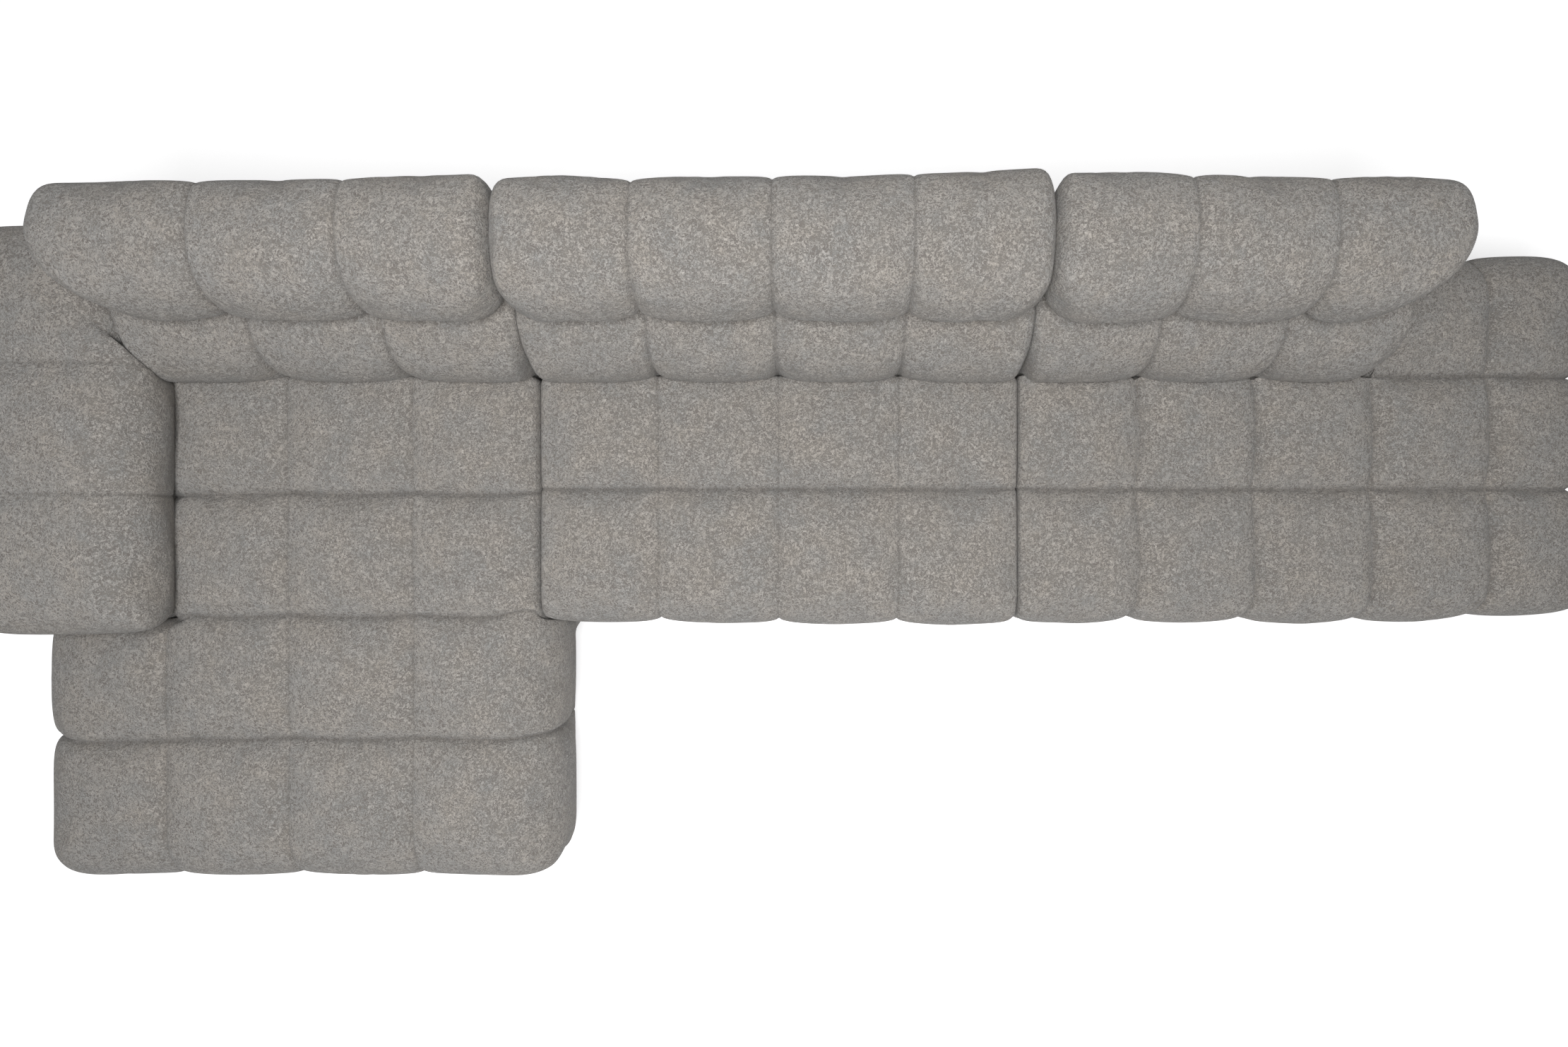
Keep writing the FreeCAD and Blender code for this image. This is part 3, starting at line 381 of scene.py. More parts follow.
def crease(piece, seams, depth=0.003, pucker=0.0008, body="sofa"):
    """Sharpens the seams and draws small puckers into them. Also stores how near each point is to a seam, which the
    cloth's colour uses for painted shade along the seams.

    A seam is an axis, a place on it, how strong it is and the lowest and highest place on the other axis."""
    place = read_place(piece)
    points = get_points(piece)
    normals = get_normals(piece)
    drop = np.zeros(len(points))
    nearness = np.zeros(len(points))
    for axis, at, strength, low, high in seams:
        along = place[:, 1 - axis]
        inside = (along > low) & (along < high)
        away = np.abs(place[:, axis] - at)
        line = np.exp(-((away / 0.0028) ** 2)) * inside
        near = np.exp(-((away / 0.026) ** 2)) * inside
        phase = 6.28 * along / 0.034 + 2.0 * np.sin(along * 23.0 + at * 9.0)
        drop = np.maximum(drop, line * depth * strength)
        drop += near * (1 - line) * pucker * np.sin(phase) * strength
        nearness = np.maximum(nearness, line * strength)
    points = points - normals * drop[:, None]
    set_points(piece, points)
    ends = np.empty(len(piece.data.edges) * 2, np.int32)
    piece.data.edges.foreach_get("vertices", ends)
    ends = ends.reshape(-1, 2)
    above = place[:, 2] > place[:, 2].min() + 1e-3
    sewn = []
    for axis, at, strength, low, high in seams:
        along = place[:, 1 - axis]
        on_line = (np.abs(place[:, axis] - at) < 2e-5) & (along > low) & (along < high) & above
        sewn.append(ends[on_line[ends[:, 0]] & on_line[ends[:, 1]]])
    stitch(piece.name + "_stitches", points + normals * 0.0004, np.concatenate(sewn), body)
    # Seam nearness, for the painted shade that darkens the cloth in the seam creases
    attribute = piece.data.attributes.new("seam", "FLOAT", "POINT")
    attribute.data.foreach_set("value", nearness.astype(np.float32))
    piece.data.attributes.remove(piece.data.attributes["pattern"])


def flatten_underside(piece, height):
    """Joins the flat faces underneath into one panel."""
    bm = bmesh.new()
    bm.from_mesh(piece.data)
    flat = [face for face in bm.faces if all(vertex.co.z < height for vertex in face.verts)]
    bmesh.ops.dissolve_faces(bm, faces=flat, use_verts=False)
    bm.to_mesh(piece.data)
    bm.free()


def finish_soft(piece, material, nodes, body="sofa"):
    piece.data.materials.append(material)
    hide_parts(*nodes)
    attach(piece, body)


def seat(name, columns, rows, rolls, column_drop, bows, nodes, filled=None, fit=None, seams=None):
    """A quilted seat cover from its hem to its crown.

    rolls gives each side's reach and height of roll: left, right, front, rear. A low one is a side that meets a
    neighbour and stays flat. bows says how far the column seams bow to the right and the row seams to the front."""
    us = mesh_lines(columns)
    vs = mesh_lines(rows)
    ws = np.linspace(HEM, SEAT_TOP, 24)
    place, quads = shell(us, vs, ws, None if filled is None else filled(us, vs, ws))
    u, v, w = place.T
    radii, heights = zip(*(rolls(place) if callable(rolls) else rolls))
    low = (columns[0], rows[0], HEM)
    high = (columns[-1], rows[-1], SEAT_TOP)
    points, near = roll_over(place, low, high, radii, heights)

    # Seams bow a little between their crossings
    window_x = smooth((u - low[0]) / 0.1) * smooth((high[0] - u) / 0.1)
    window_y = smooth((v - low[1]) / 0.1) * smooth((high[1] - v) / 0.1)
    points[:, 0] += bows[0] * cell_hump(v, rows) * window_x
    points[:, 1] += (bows[2] * smooth((u - columns[1]) / 0.08) - bows[1] * cell_hump(u, columns)) * window_y

    # The outer sides draw in towards the hem
    outer = [near[i] * (np.asarray(heights[i]) > 0.09) for i in range(4)]
    tuck = 0.035 * smooth((0.285 - points[:, 2]) / 0.24)
    points[:, 0] += tuck * (outer[0] - outer[1])
    points[:, 1] += tuck * (outer[2] - outer[3])
    butt = np.max([near[i] * (np.asarray(heights[i]) < 0.05) for i in range(4)], axis=0) ** 4
    if fit is not None:
        points, butt = fit(place, points, butt)

    if seams is None:
        seams = [(0, at, 0.45, -9, 9) for at in columns[1:-1]] + [(1, at, 1.0, -9, 9) for at in rows[1:-1]]
    column = np.zeros(len(u))
    row = np.zeros(len(u))
    low_down = smooth((SEAT_TOP - w) / 0.25)
    for axis, at, strength, start, end in seams:
        inside = (place[:, 1 - axis] > start) & (place[:, 1 - axis] < end)
        near_seam = seam_nearness(place[:, axis], (at,), 0.15) * inside
        if axis == 0:
            top_drop = (1 - low_down) * column_drop * hollow(near_seam, 3.4)
            side_drop = low_down * 0.016 * hollow(near_seam, 2.2)
            column = np.maximum(column, top_drop + side_drop)
        else:
            row = np.maximum(row, ROW_DROP * hollow(near_seam, 3.0) * (1 - 0.3 * low_down))
    drop = (column**2.5 + row**2.5) ** 0.4 * smooth((points[:, 2] - HEM) / 0.05)
    level = 1 - np.clip(row / ROW_DROP, 0, 1)
    uneven = 0.003 * waves(place * (1, 1, 0), 9.0, len(name)) * level * (w > 0.3)
    piece = new_piece(name, points, quads)
    keep_place(piece, place)
    press_in(piece, points, drop - uneven, butt, np.clip((w - 0.2) / (SEAT_TOP - 0.2), 0, 1))
    held = (butt > 0.99) | (w < 0.1)
    for axis, at, strength, start, end in seams:
        on_line = np.abs(place[:, axis] - at) < 1e-5
        held |= on_line & (place[:, 1 - axis] > start) & (place[:, 1 - axis] < end)
    inflate(piece, held.astype(float))
    subdivide(piece)
    crease(piece, seams)
    flatten_underside(piece, HEM + 0.002)
    finish_soft(piece, CLOTH, nodes)
    return piece


def ring_of(knots):
    """A smooth closed outline through (parameter, y, z) knots, whose parameter runs from 0 to 4."""
    knots = np.array(knots)
    fine = np.linspace(0, 4, 801)[:-1]
    outline = []
    kernel = np.hanning(63)
    kernel /= kernel.sum()
    for k in (1, 2):
        line = np.interp(fine, np.append(knots[:, 0], 4.0), np.append(knots[:, k], knots[0, k]))
        wide = np.concatenate([line[-31:], line, line[:31]])
        outline.append(np.convolve(wide, kernel, "valid"))

    def at(s):
        s = np.mod(s, 4.0) * 200
        low = np.floor(s).astype(int) % 800
        part = s - np.floor(s)
        return [line[low] * (1 - part) + line[(low + 1) % 800] * part for line in outline]

    return at


HEADREST_RING = ring_of([
    (0.0, 0.602, 0.6695),
    (0.5, 0.700, 0.6695),
    (0.95, 0.788, 0.6700),
    (1.2, 0.812, 0.705),
    (1.6, 0.824, 0.790),
    (1.9, 0.822, 0.838),
    (2.0, 0.814, 0.858),
    (2.2, 0.786, 0.876),
    (2.5, 0.713, 0.891),
    (2.8, 0.632, 0.880),
    (3.0, 0.583, 0.858),
    (3.3, 0.553, 0.812),
    (3.6, 0.538, 0.752),
    (3.8, 0.535, 0.714),
    (3.93, 0.558, 0.684),
])


def headrest(name, stops, overs, tilt, nodes):
    """A plump closed roll with a seam between its cells, and rounded ends."""
    us = mesh_lines(stops, seams=stops[1:-1])
    square = np.linspace(-1, 1, 17)
    place, quads = shell(us, square, square)
    x, a, b = place.T
    size = np.maximum(np.maximum(np.abs(a), np.abs(b)), 1e-6)
    a, b = a / size, b / size
    s = np.where(b <= -0.9999, (a + 1) / 2, 0.0)
    s = np.where((a >= 0.9999) & (b > -0.9999), 1 + (b + 1) / 2, s)
    s = np.where((b >= 0.9999) & (a < 0.9999), 2 + (1 - a) / 2, s)
    s = np.where((a <= -0.9999) & (b < 0.9999) & (b > -0.9999), 3 + (1 - b) / 2, s)
    left, right = stops[0], stops[-1]
    rolls = [0.07 if over else 0.036 for over in overs]
    at_left = np.clip((left + rolls[0] - x) / rolls[0], 0, 1)
    at_right = np.clip((x - right + rolls[1]) / rolls[1], 0, 1)
    end = np.maximum(at_left, at_right)
    n = 2.8
    norm = (end**n + size**n) ** (1 / n)
    pull = np.maximum(end, size) / norm
    x = x + at_left * rolls[0] * (1 - pull) - at_right * rolls[1] * (1 - pull)
    size = size * np.where(end > 0, pull, 1.0)
    ring_y, ring_z = HEADREST_RING(s)
    y = HEADREST_MIDDLE[0] + (ring_y - HEADREST_MIDDLE[0]) * size
    z = HEADREST_MIDDLE[1] + (ring_z - HEADREST_MIDDLE[1]) * size
    # The outer front corners are cut round
    for over, edge, way in ((overs[0], left, -1), (overs[1], right, 1)):
        radius = 0.19 if over else 0.06
        start = edge - way * 0.30
        forward = np.clip((HEADREST_FRONT + radius - y) / radius, 0, 1)
        limit = edge - way * radius * (1 - np.sqrt(np.clip(1 - forward**2, 0, 1)))
        beyond = way * (x - start) > 0
        x = np.where(beyond, start + (x - start) * (limit - start) / (edge - start), x)
    points = np.stack([x, y, z], 1)
    piece = new_piece(name, points, quads)
    keep_place(piece, place)
    near = seam_nearness(place[:, 0], stops[1:-1], 0.155)
    low_side = smooth((0.70 - z) / 0.03)
    in_front = smooth((0.66 - y) / 0.09)
    drop = (0.009 + 0.017 * in_front) * hollow(near, 2.1) * (1 - 0.8 * low_side)
    uneven = 0.004 * waves(points, 11.0, len(name)) * (1 - near) * (1 - low_side)
    set_points(piece, points - get_normals(piece) * (drop - uneven)[:, None])
    held = np.where((near > 0.999) | (z < 0.676), 1.0, 0.0)
    inflate(piece, held, travel=0.012)
    subdivide(piece)
    points = get_points(piece)
    share = (points[:, 0] - left) / (right - left)
    behind = smooth((points[:, 2] - 0.70) / 0.1) * smooth((points[:, 1] - 0.56) / 0.2)
    points[:, 1] += (tilt[0] + (tilt[1] - tilt[0]) * share) * behind
    set_points(piece, points)
    crease(piece, [(0, at, 0.7, -9, 9) for at in stops[1:-1]], body=name)
    finish_soft(piece, CLOTH, nodes, name)
    return piece


def back_face(height):
    rise = np.clip((height - 0.44) / 0.228, 0, 1)
    return BACK_FACE + 0.0041 * rise**2 + 0.1179 * rise**4


def lower_back(name, stops, rounds, nodes):
    """The fixed part of a back: its leaning face bulges over the seat in cells."""
    us = mesh_lines(stops)
    vs = mesh_lines((BACK_FACE, REAR), 0.022, ())
    ws = np.concatenate([np.linspace(HEM, 0.40, 15), np.linspace(0.415, BACK_TOP, 17)])
    place, quads = shell(us, vs, ws)
    share = (place[:, 1] - BACK_FACE) / (REAR - BACK_FACE)
    points = place.copy()
    low = (stops[0], BACK_FACE, HEM)
    high = (stops[-1], REAR, BACK_TOP)
    radii = (rounds[0], rounds[1], 0.03, 0.02)
    points, near = roll_over(points, low, high, radii, (0.02, 0.02, 0.03, 0.02), 2.2, 2.2)
    points[:, 1] += (back_face(points[:, 2]) - BACK_FACE) * (1 - share)
    piece = new_piece(name, points, quads)
    keep_place(piece, place)
    column = seam_nearness(place[:, 0], stops[1:-1], 0.15)
    front = smooth(1 - share * 4)
    rise = np.clip((place[:, 2] - SWELL_LOW) / (BACK_TOP - SWELL_LOW), 0, 1)
    belly = 0.024 * np.sqrt(np.clip(np.sin(math.pi * np.clip(rise * 1.08, 0, 1)), 0, 1)) * front
    ends = np.maximum(near[0], near[1])
    full = (1 - hollow(column, 2.1)) * (1 - 0.8 * ends**3)
    points[:, 1] -= belly * full
    drop = 0.006 * hollow(column, 3.0) * (rise > 0)
    set_points(piece, points - get_normals(piece) * drop[:, None])
    at_seam = (column > 0.999) | (near[0] > 0.99) | (near[1] > 0.99)
    held = np.where(at_seam | (place[:, 2] < SWELL_LOW) | (share > 0.3), 1.0, 0.0)
    inflate(piece, held, travel=0.012)
    subdivide(piece)
    crease(piece, [(0, at, 0.7, -9, 9) for at in stops[1:-1]])
    flatten_underside(piece, HEM + 0.002)
    finish_soft(piece, CLOTH, nodes)
    return piece


# How far the arm's inner side leans over the seat at each height
ARM_LEAN = (
    (0.428, 0.0),
    (0.448, 0.024),
    (0.470, 0.036),
    (0.500, 0.046),
    (0.540, 0.054),
    (0.580, 0.057),
    (0.610, 0.054),
    (0.640, 0.044),
    (0.662, 0.032),
)


def arm(nodes):
    """The arm: one long pad that rolls over its front, rear and outer side and leans over the seat."""
    seams = (0.155, 0.458)
    us = mesh_lines((LEFT, ARM_SIDE), seams=())
    vs = mesh_lines((ARM_FRONT, seams[0], seams[1], ARM_REAR), seams=seams)
    ws = np.linspace(HEM, ARM_TOP, 36)
    place, quads = shell(us, vs, ws)
    points = place.copy()
    low = (LEFT, ARM_FRONT, HEM)
    high = (ARM_SIDE, ARM_REAR, ARM_TOP)
    points, near = roll_over(points, low, high, (0.11, 0.09, 0.10, 0.10), (0.12, 0.09, 0.10, 0.10), 2.2, 7.0)
    height = points[:, 2]
    share = (place[:, 0] - LEFT) / (ARM_SIDE - LEFT)
    rise = np.clip((height - 0.46) / 0.2, 0, 1)
    clear = smooth((back_face(height) - place[:, 1] - 0.002) / 0.02)
    lean = np.interp(height, *zip(*ARM_LEAN))
    points[:, 0] += lean * share**2 * clear
    tuck = 0.035 * smooth((0.3 - height) / 0.25)
    points[:, 0] += tuck * near[0]
    points[:, 1] -= 0.5 * tuck * near[3]
    front_swell = 0.02 * smooth(rise * 1.6)
    points[:, 1] -= front_swell * smooth((0.1 - place[:, 1] + ARM_FRONT) / 0.1)
    piece = new_piece("arm_cushion", points, quads)
    keep_place(piece, place)
    row = seam_nearness(place[:, 1], seams, 0.15)
    drop = 0.008 * hollow(row, 3.2) * smooth((height - HEM) / 0.1)
    uneven = 0.004 * waves(points, 8.0, 3) * (height > 0.3) * (share < 0.98)
    flat = (share > 0.98) * smooth((0.46 - height) / 0.02)
    press_in(piece, points, drop - uneven, np.maximum(flat, (share > 0.98) * (1 - clear)), 0 * share)
    held = np.where((row > 0.999) | (height < 0.1) | ((share > 0.999) & (height < 0.47)), 1.0, 0.0)
    held = np.where((share > 0.999) & (place[:, 1] > 0.42), 1.0, held)
    inflate(piece, held)
    subdivide(piece)
    crease(piece, [(1, at, 0.5, -9, 9) for at in seams])
    flatten_underside(piece, HEM + 0.002)
    finish_soft(piece, CLOTH, nodes)
    return piece


class Wire:
    """An output in a material's node tree. Arithmetic on it adds Math nodes."""

    def __init__(self, recipe, socket):
        self.recipe = recipe
        self.socket = socket

    def __add__(self, other):
        return self.recipe.math("ADD", self, other)

    def __radd__(self, other):
        return self.recipe.math("ADD", other, self)

    def __sub__(self, other):
        return self.recipe.math("SUBTRACT", self, other)

    def __rsub__(self, other):
        return self.recipe.math("SUBTRACT", other, self)

    def __mul__(self, other):
        return self.recipe.math("MULTIPLY", self, other)

    def __rmul__(self, other):
        return self.recipe.math("MULTIPLY", other, self)

    def __pow__(self, other):
        return self.recipe.math("POWER", self, other)


class Recipe:
    """A material under construction."""

    def __init__(self, name):
        self.material = bpy.data.materials.new(name)
        self.material.use_nodes = True
        self.tree = self.material.node_tree
        self.tree.nodes.clear()

    def add(self, kind, settings=None, sockets=None, output=0):
        """Adds a node, with its settings first and then its sockets' values or links. Returns one output."""
        node = self.tree.nodes.new(kind)
        for key, value in (settings or {}).items():
            if key == "stops":
                ramp = node.color_ramp.elements
                while len(ramp) < len(value):
                    ramp.new(0.5)
                for element, (position, colour) in zip(ramp, value):
                    element.position = position
                    element.color = colour if len(colour) == 4 else (*colour, 1.0)
            else:
                setattr(node, key, value)
        for key, value in (sockets or {}).items():
            if isinstance(value, Wire):
                self.tree.links.new(value.socket, node.inputs[key])
            else:
                node.inputs[key].default_value = value
        return Wire(self, node.outputs[output]) if node.outputs else None

    def math(self, operation, *values):
        return self.add("ShaderNodeMath", {"operation": operation}, dict(enumerate(values)))

    def range(self, value, low, high, to_low=0.0, to_high=1.0):
        sockets = {"Value": value, "From Min": low, "From Max": high, "To Min": to_low, "To Max": to_high}
        return self.add("ShaderNodeMapRange", {"clamp": True}, sockets)

    def noise(self, where, scale, detail=2.0, roughness=0.5, distortion=0.0):
        sockets = {
            "Vector": where,
            "Scale": scale,
            "Detail": detail,
            "Roughness": roughness,
            "Distortion": distortion,
        }
        return self.add("ShaderNodeTexNoise", {"noise_dimensions": "3D"}, sockets)

    def mix(self, factor, a, b):
        return self.add(
            "ShaderNodeMix", {"data_type": "RGBA"}, {0: factor, 6: linear(a), 7: linear(b)}, output=2
        )

    def finish(self, **sockets):
        sockets = {key.replace("_", " "): value for key, value in sockets.items()}
        shader = self.add("ShaderNodeBsdfPrincipled", {}, sockets)
        self.add("ShaderNodeOutputMaterial", {}, {"Surface": shader})
        return self.material


def linear(colour):
    """A colour given as three sRGB values from 0 to 255, in linear light. A wire is left alone."""
    if isinstance(colour, Wire):
        return colour
    share = [value / 255 for value in colour]
    return tuple(v / 12.92 if v <= 0.04045 else ((v + 0.055) / 1.055) ** 2.4 for v in share) + (1.0,)


def looped_cloth():
    """Grey chenille with short curled loops, mottled warm and cool, with painted shade along the seams."""
    recipe = Recipe("looped_chenille")
    where = recipe.add("ShaderNodeTexCoord", output=3)
    shifted = recipe.add("ShaderNodeVectorMath", {"operation": "ADD"}, {0: where, 1: (3.1, 7.7, 5.3)})
    curls = recipe.math("ABSOLUTE", recipe.noise(where, 105.0, 1.6, 0.5, 0.9) - 0.5)
    other_curls = recipe.math("ABSOLUTE", recipe.noise(shifted, 125.0, 1.6, 0.5, 0.9) - 0.5)
    strand = recipe.range(recipe.math("MINIMUM", curls, other_curls), 0.0, 0.085, 1.0, 0.0)
    tuft = recipe.noise(where, 420.0, 1.0, 0.5)
    patches = recipe.noise(where, 9.0, 3.0, 0.6)
    tone = recipe.noise(where, 38.0, 3.0, 0.6)
    seam = recipe.add("ShaderNodeAttribute", {"attribute_name": "seam"}, output=2)
    ground = recipe.mix(recipe.range(patches, 0.38, 0.62), (161, 154, 146), (146, 145, 143))
    ground = recipe.mix(recipe.range(tone, 0.35, 0.65) * 0.6, ground, (174, 169, 163))
    shaded = recipe.mix(recipe.range(tone, 0.62, 0.38) * 0.6, (102, 97, 93), (124, 120, 114))
    colour = recipe.mix(strand * 0.85 + 0.1, shaded, ground)
    colour = recipe.mix(recipe.range(tuft, 0.52, 0.75) * strand * 0.7, colour, (196, 192, 186))
    # Painted shade: the colour darkens towards (70, 67, 64) along the seams, where the sewn creases lie in shade
    colour = recipe.mix(seam * 0.55, colour, (70, 67, 64))
    height = strand * 0.8 + tuft * 0.35
    bump = recipe.add("ShaderNodeBump", {}, {"Strength": 0.8, "Distance": 0.0026, "Height": height})
    rough = recipe.range(strand, 0.0, 1.0, 0.98, 0.86)
    return recipe.finish(
        Base_Color=colour,
        Roughness=rough,
        Normal=bump,
        Sheen_Weight=0.25,
        Sheen_Roughness=0.5,
        Specular_IOR_Level=0.2,
    )


def twisted_thread():
    """Grey thread with a fine twist."""
    recipe = Recipe("sewing_thread")
    where = recipe.add("ShaderNodeTexCoord", output=3)
    twist = recipe.noise(where, 900.0, 1.0, 0.5)
    colour = recipe.mix(recipe.range(twist, 0.4, 0.6), (104, 100, 95), (134, 130, 124))
    bump = recipe.add("ShaderNodeBump", {}, {"Strength": 0.3, "Distance": 0.0003, "Height": twist})
    return recipe.finish(Base_Color=colour, Roughness=0.8, Normal=bump, Sheen_Weight=0.1)


CLOTH = looped_cloth()
THREAD = twisted_thread()
STITCHES = stitch_group()


def chaise_filled(us, vs, ws):
    """The arm stands behind the wing, so the lattice is empty there."""
    x = (us[1:] + us[:-1]) / 2
    y = (vs[1:] + vs[:-1]) / 2
    grid = (x[:, None] > CHAISE_COLUMNS[0]) | (y[None, :] < CHAISE_ROWS[2])
    return np.repeat(grid[:, :, None], len(ws) - 1, 2)


def in_chaise_front(place):
    return smooth((CHAISE_ROWS[2] + 0.006 - place[:, 1]) / 0.012)


def chaise_rolls(place):
    front = in_chaise_front(place)
    return (0.19, 0.18), (0.045 + 0.095 * front, 0.045 + 0.095 * front), (0.13, 0.14), (0.02, 0.02)


def chaise_fit(place, points, butt):
    """Widens the front part on the right, and rounds the edges that meet the arm."""
    u, v, w = place.T
    front = in_chaise_front(place)
    last = np.clip((u - CHAISE_COLUMNS[2]) / (CHAISE_COLUMNS[3] - CHAISE_COLUMNS[2]), 0, 1)
    points[:, 0] += CHAISE_SWELL * last**1.5 * front
    untuck = smooth((0.285 - points[:, 2]) / 0.24) * smooth((v - CHAISE_ROWS[2] + 0.08) / 0.06)
    points[:, 0] += 0.035 * untuck * last * front
    behind = v > CHAISE_ROWS[2] - 1e-5
    wing = u < CHAISE_COLUMNS[0] + 1e-5
    high_up = smooth((w - 0.30) / (SEAT_TOP - 0.30))
    edge = np.clip(1 - np.abs(v - CHAISE_ROWS[2]) / 0.045, 0, 1) * wing
    side = np.clip(1 - np.abs(u - CHAISE_COLUMNS[0]) / 0.045, 0, 1) * behind
    points[:, 2] -= 0.032 * np.maximum(edge, side) ** 2 * high_up
    points[:, 2] -= 0.014 * smooth((CHAISE_COLUMNS[0] + 0.12 - u) / 0.22) * high_up * front
    on_step = (np.abs(u - CHAISE_COLUMNS[0]) < 1e-5) & behind | (np.abs(v - CHAISE_ROWS[2]) < 1e-5) & wing
    right = np.clip((u - CHAISE_COLUMNS[3] + 0.045) / 0.045, 0, 1) ** 4 * (v > CHAISE_ROWS[2])
    return points, np.maximum(np.maximum(butt, on_step), right)


def end_filled(us, vs, ws):
    """The end module's back stands behind its first three columns."""
    x = (us[1:] + us[:-1]) / 2
    y = (vs[1:] + vs[:-1]) / 2
    grid = (x[:, None] > OPEN_SIDE) | (y[None, :] < SEAT_ROWS[2])
    return np.repeat(grid[:, :, None], len(ws) - 1, 2)


def end_fit(place, points, butt):
    """Curves the front edge back towards the open end, and marks the sides that meet the back."""
    u, v, w = place.T
    points[:, 1] += 0.02 * smooth((u - 1.40) / 0.55) * smooth((0.1 - v) / 0.2)
    behind = v > SEAT_ROWS[2] - 1e-5
    on_side = (np.abs(u - OPEN_SIDE) < 1e-5) & behind
    on_step = on_side | (np.abs(v - SEAT_ROWS[2]) < 1e-5) & (u < OPEN_SIDE + 1e-5)
    rear_edge = np.clip(1 - np.abs(v - SEAT_ROWS[2]) / 0.02, 0, 1) * (u < OPEN_SIDE) * (w > SEAT_TOP - 0.02)
    points[:, 2] -= 0.006 * rear_edge
    return points, np.maximum(butt, on_step & (w < SEAT_TOP - 0.03))


step = CHAISE_ROWS[2]
chaise_seams = [(0, CHAISE_COLUMNS[0], 0.45, -9, step + 1e-4)]
chaise_seams += [(0, at, 0.45, -9, 9) for at in CHAISE_COLUMNS[1:-1]]
chaise_seams += [(1, at, 1.0, -9, 9) for at in CHAISE_ROWS[1:-1]]
seat(
    "chaise_cushion",
    (LEFT,) + CHAISE_COLUMNS,
    CHAISE_ROWS,
    chaise_rolls,
    0.010,
    (-0.003, 0.007, 0.010),
    ["chaise_cover", "chaise_foam"],
    filled=chaise_filled,
    fit=chaise_fit,
    seams=chaise_seams,
)
seat(
    "middle_cushion",
    MIDDLE_COLUMNS,
    SEAT_ROWS,
    ((0.04, 0.045), (0.025, 0.03), (0.065, 0.095), (0.02, 0.02)),
    0.007,
    (0.001, 0.002, 0.0),
    ["middle_cover", "middle_foam"],
)
end_columns = END_COLUMNS[:3] + (OPEN_SIDE,) + END_COLUMNS[4:]
end_rows = SEAT_ROWS + (REAR,)
end_seams = [(0, at, 0.5, -9, 9) for at in end_columns[1:-1]]
end_seams[2] = (0, OPEN_SIDE, 0.5, -9, SEAT_ROWS[2] + 1e-4)
end_seams += [(1, SEAT_ROWS[1], 1.0, -9, 9), (1, SEAT_ROWS[2], 1.0, OPEN_SIDE - 1e-4, 9)]
seat(
    "end_cushion",
    end_columns,
    end_rows,
    ((0.025, 0.03), (0.16, 0.16), (0.065, 0.095), (0.12, 0.13)),
    0.022,
    (0.014, 0.003, 0.0),
    ["end_cover", "end_foam"],
    filled=end_filled,
    fit=end_fit,
    seams=end_seams,
)
arm(["arm_cover", "arm_foam"])

chaise_back_stops = (CHAISE_COLUMNS[0], -1.305, -0.995, CHAISE_COLUMNS[-1])
end_back_stops = (END_COLUMNS[0], 0.807, 1.099, 1.3907)
lower_back("chaise_back_cushion", chaise_back_stops, (0.02, 0.04), ["chaise_back_cover", "chaise_back_foam"])
lower_back("middle_back_cushion", MIDDLE_COLUMNS, (0.04, 0.04), ["middle_back_cover", "middle_back_foam"])
lower_back("end_back_cushion", end_back_stops, (0.04, 0.13), ["end_back_cover", "end_back_foam"])

HEADRESTS = (
    ("chaise", (-1.664, -1.305, -0.995, -0.6853), (0.075, 0.0), (-0.010, 0.004)),
    ("middle", MIDDLE_COLUMNS, (0.0, 0.0), (-0.008, 0.018)),
    ("end", (END_COLUMNS[0], 0.807, 1.099, 1.411), (0.0, 0.044), (0.014, -0.006)),
)
for module, stops, overs, tilt in HEADRESTS:
    nodes = [module + "_headrest_cover", module + "_headrest_foam"]
    headrest(module + "_headrest", stops, overs, tilt, nodes)


def gusset(module, left, right):
    """A strip of cloth that closes the opening behind the hinge when the headrest tilts."""
    us = np.linspace(left + 0.015, right - 0.015, 40)
    vs = np.array([GUSSET_DEPTH, GUSSET_DEPTH + GUSSET_THICKNESS])
    place, quads = shell(us, vs, np.linspace(*GUSSET_HEIGHTS, 10))
    piece = new_piece(module + "_gusset", place, quads)
    piece.data.materials.append(CLOTH)
    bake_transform(piece)


gusset("chaise", chaise_back_stops[0], chaise_back_stops[-1])
gusset("middle", MIDDLE_COLUMNS[0], MIDDLE_COLUMNS[-1])
gusset("end", end_back_stops[0], end_back_stops[-1])


def plain(name, colour, roughness, metallic=0.0, grain=300.0, depth=0.0003, spread=0.12):
    """A finish with a fine grain and a little variation of colour."""
    recipe = Recipe(name)
    where = recipe.add("ShaderNodeTexCoord", output=3)
    fine = recipe.noise(where, grain, 3.0)
    broad = recipe.noise(where, grain / 30, 2.0)
    dark = tuple(value * (1 - spread) for value in colour)
    pale = tuple(min(255, value * (1 + spread)) for value in colour)
    shade = recipe.mix(recipe.range(fine * 0.5 + broad * 0.5, 0.35, 0.65), dark, pale)
    bump = recipe.add("ShaderNodeBump", {}, {"Strength": 0.5, "Distance": depth, "Height": fine})
    rough = recipe.range(fine, 0.3, 0.7, max(0.05, roughness - 0.08), min(1.0, roughness + 0.08))
    return recipe.finish(Base_Color=shade, Roughness=rough, Metallic=metallic, Normal=bump)


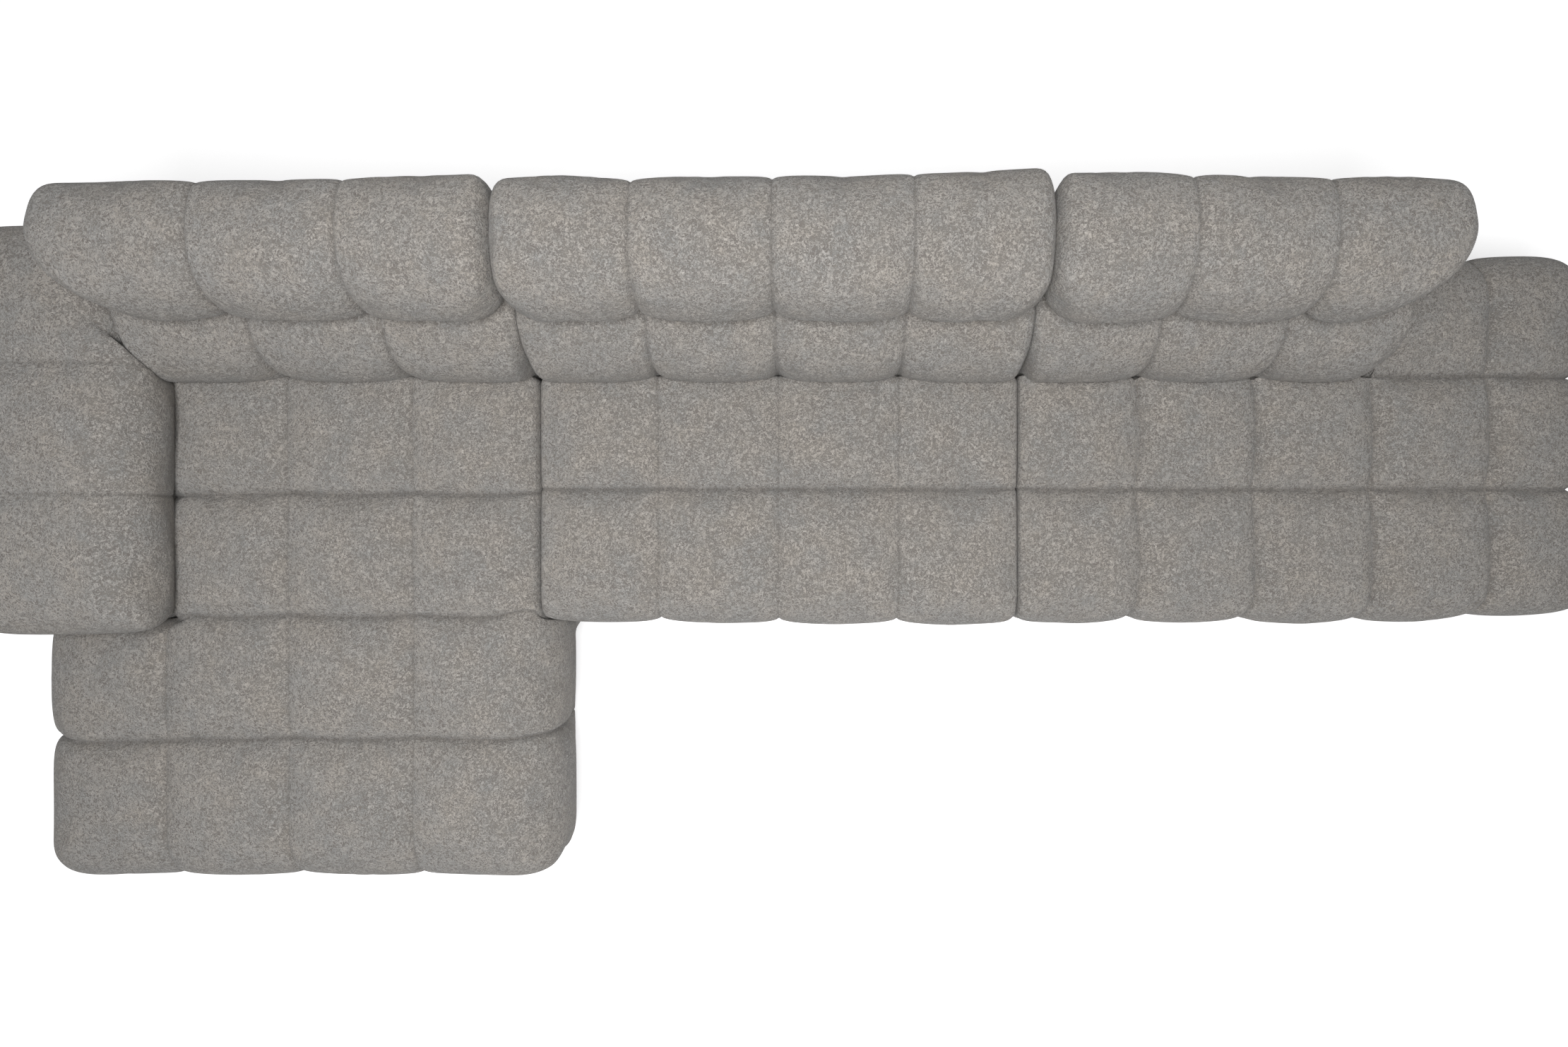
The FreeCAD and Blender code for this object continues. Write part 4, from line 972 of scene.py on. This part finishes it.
def timber(name, pale, dark, across, scale):
    """Sawn wood: growth rings stretched along the board, with fine pores."""
    recipe = Recipe(name)
    where = recipe.add("ShaderNodeTexCoord", output=3)
    laid = recipe.add("ShaderNodeMapping", {}, {"Vector": where, "Scale": across})
    bent = recipe.noise(laid, scale, 3.0, 0.6, 1.5)
    rings = recipe.math("SINE", bent * 40.0)
    pores = recipe.noise(laid, scale * 22, 2.0)
    shade = recipe.mix(recipe.range(rings * 0.6 + pores * 0.8, -0.3, 1.1), pale, dark)
    bump = recipe.add("ShaderNodeBump", {}, {"Strength": 0.4, "Distance": 0.0004, "Height": pores})
    return recipe.finish(Base_Color=shade, Roughness=recipe.range(pores, 0.3, 0.7, 0.55, 0.75), Normal=bump)


def paint(material, *words):
    """Gives a finish to every carried-over node whose name holds one of the words."""
    for name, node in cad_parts.items():
        if any(word in name for word in words):
            if not node.material_slots:
                node.data.materials.append(material)
            for slot in node.material_slots:
                slot.material = material


paint(plain("moulded_foot", (38, 38, 40), 0.45, depth=0.0002), "feet")
paint(plain("black_felt", (34, 34, 36), 0.95, grain=700.0, depth=0.0006, spread=0.3), "dust_cover")
paint(plain("spring_wire", (96, 98, 102), 0.35, 1.0), "springs", "frame_bolts")
paint(plain("zinc_plate", (176, 180, 184), 0.32, 1.0, grain=120.0), "connector", "hinge")
paint(plain("woven_strap", (62, 60, 58), 0.9, grain=500.0, depth=0.0008, spread=0.25), "straps")
pine = timber("pine_board", (214, 182, 132), (176, 132, 84), (6.0, 1.0, 6.0), 3.0)
paint(pine, "rails", "corner_blocks", "back_frame")
paint(timber("plywood", (206, 180, 140), (168, 136, 96), (1.0, 5.0, 5.0), 4.0), "arm_frame", "headrest_board")

# Floor, light and camera
floor_size = 30.0
bm = bmesh.new()
bmesh.ops.create_grid(bm, x_segments=1, y_segments=1, size=floor_size / 2)
floor_mesh = bpy.data.meshes.new("floor")
bm.to_mesh(floor_mesh)
bm.free()
floor = bpy.data.objects.new("floor", floor_mesh)
bpy.context.scene.collection.objects.link(floor)


def white_floor():
    recipe = Recipe("white_floor")
    where = recipe.add("ShaderNodeTexCoord", output=3)
    cloudy = recipe.noise(where, 1.2, 2.0)
    shade = recipe.mix(cloudy, (246, 246, 247), (250, 250, 250))
    diffuse = recipe.add("ShaderNodeBsdfDiffuse", {}, {"Color": shade})
    seen = recipe.add("ShaderNodeLightPath", output=0)
    glow = recipe.add("ShaderNodeEmission", {}, {"Color": (1.0, 1.0, 1.0, 1.0), "Strength": seen * 0.49})
    both = recipe.add("ShaderNodeAddShader", {}, {0: diffuse, 1: glow})
    recipe.add("ShaderNodeOutputMaterial", {}, {"Surface": both})
    return recipe.material


floor_mesh.materials.append(white_floor())


def lamp(name, place, aim, size, power):
    light = bpy.data.lights.new(name, "AREA")
    light.shape = "RECTANGLE"
    light.size, light.size_y = size
    light.energy = power
    lamp_object = bpy.data.objects.new(name, light)
    bpy.context.scene.collection.objects.link(lamp_object)
    lamp_object.location = place
    lamp_object.rotation_euler = (Vector(aim) - Vector(place)).to_track_quat("-Z", "Y").to_euler()


lamp("overhead", (-0.1, -0.35, 3.9), (-0.1, -0.35, 0.0), (1.7, 1.7), 156.0)

world = bpy.data.worlds.new("studio")
bpy.context.scene.world = world
world.use_nodes = True
sky = world.node_tree
sky.nodes.clear()
path = sky.nodes.new("ShaderNodeLightPath")
soft = sky.nodes.new("ShaderNodeBackground")
soft.inputs["Strength"].default_value = 0.21
white = sky.nodes.new("ShaderNodeBackground")
white.inputs["Color"].default_value = (1.0, 1.0, 1.0, 1.0)
either = sky.nodes.new("ShaderNodeMath")
either.operation = "MAXIMUM"
blend = sky.nodes.new("ShaderNodeMixShader")
out = sky.nodes.new("ShaderNodeOutputWorld")
sky.links.new(path.outputs["Is Camera Ray"], either.inputs[0])
sky.links.new(path.outputs["Is Glossy Ray"], either.inputs[1])
sky.links.new(either.outputs[0], blend.inputs[0])
sky.links.new(soft.outputs[0], blend.inputs[1])
sky.links.new(white.outputs[0], blend.inputs[2])
sky.links.new(blend.outputs[0], out.inputs[0])

CAMERA_HEIGHT = 3.0
CAMERA_DEPTH = 0.087
LENS = 36.0 * 1446 / 2220
camera_data = bpy.data.cameras.new("camera")
camera_data.sensor_width = 36.0
camera_data.sensor_fit = "HORIZONTAL"
camera_data.lens = LENS
camera_data.shift_x = -40 / 2220
camera = bpy.data.objects.new("camera", camera_data)
camera.location = (0.0, CAMERA_DEPTH, CAMERA_HEIGHT)
bpy.context.scene.collection.objects.link(camera)
bpy.context.scene.camera = camera
bpy.context.scene.view_settings.view_transform = "Standard"
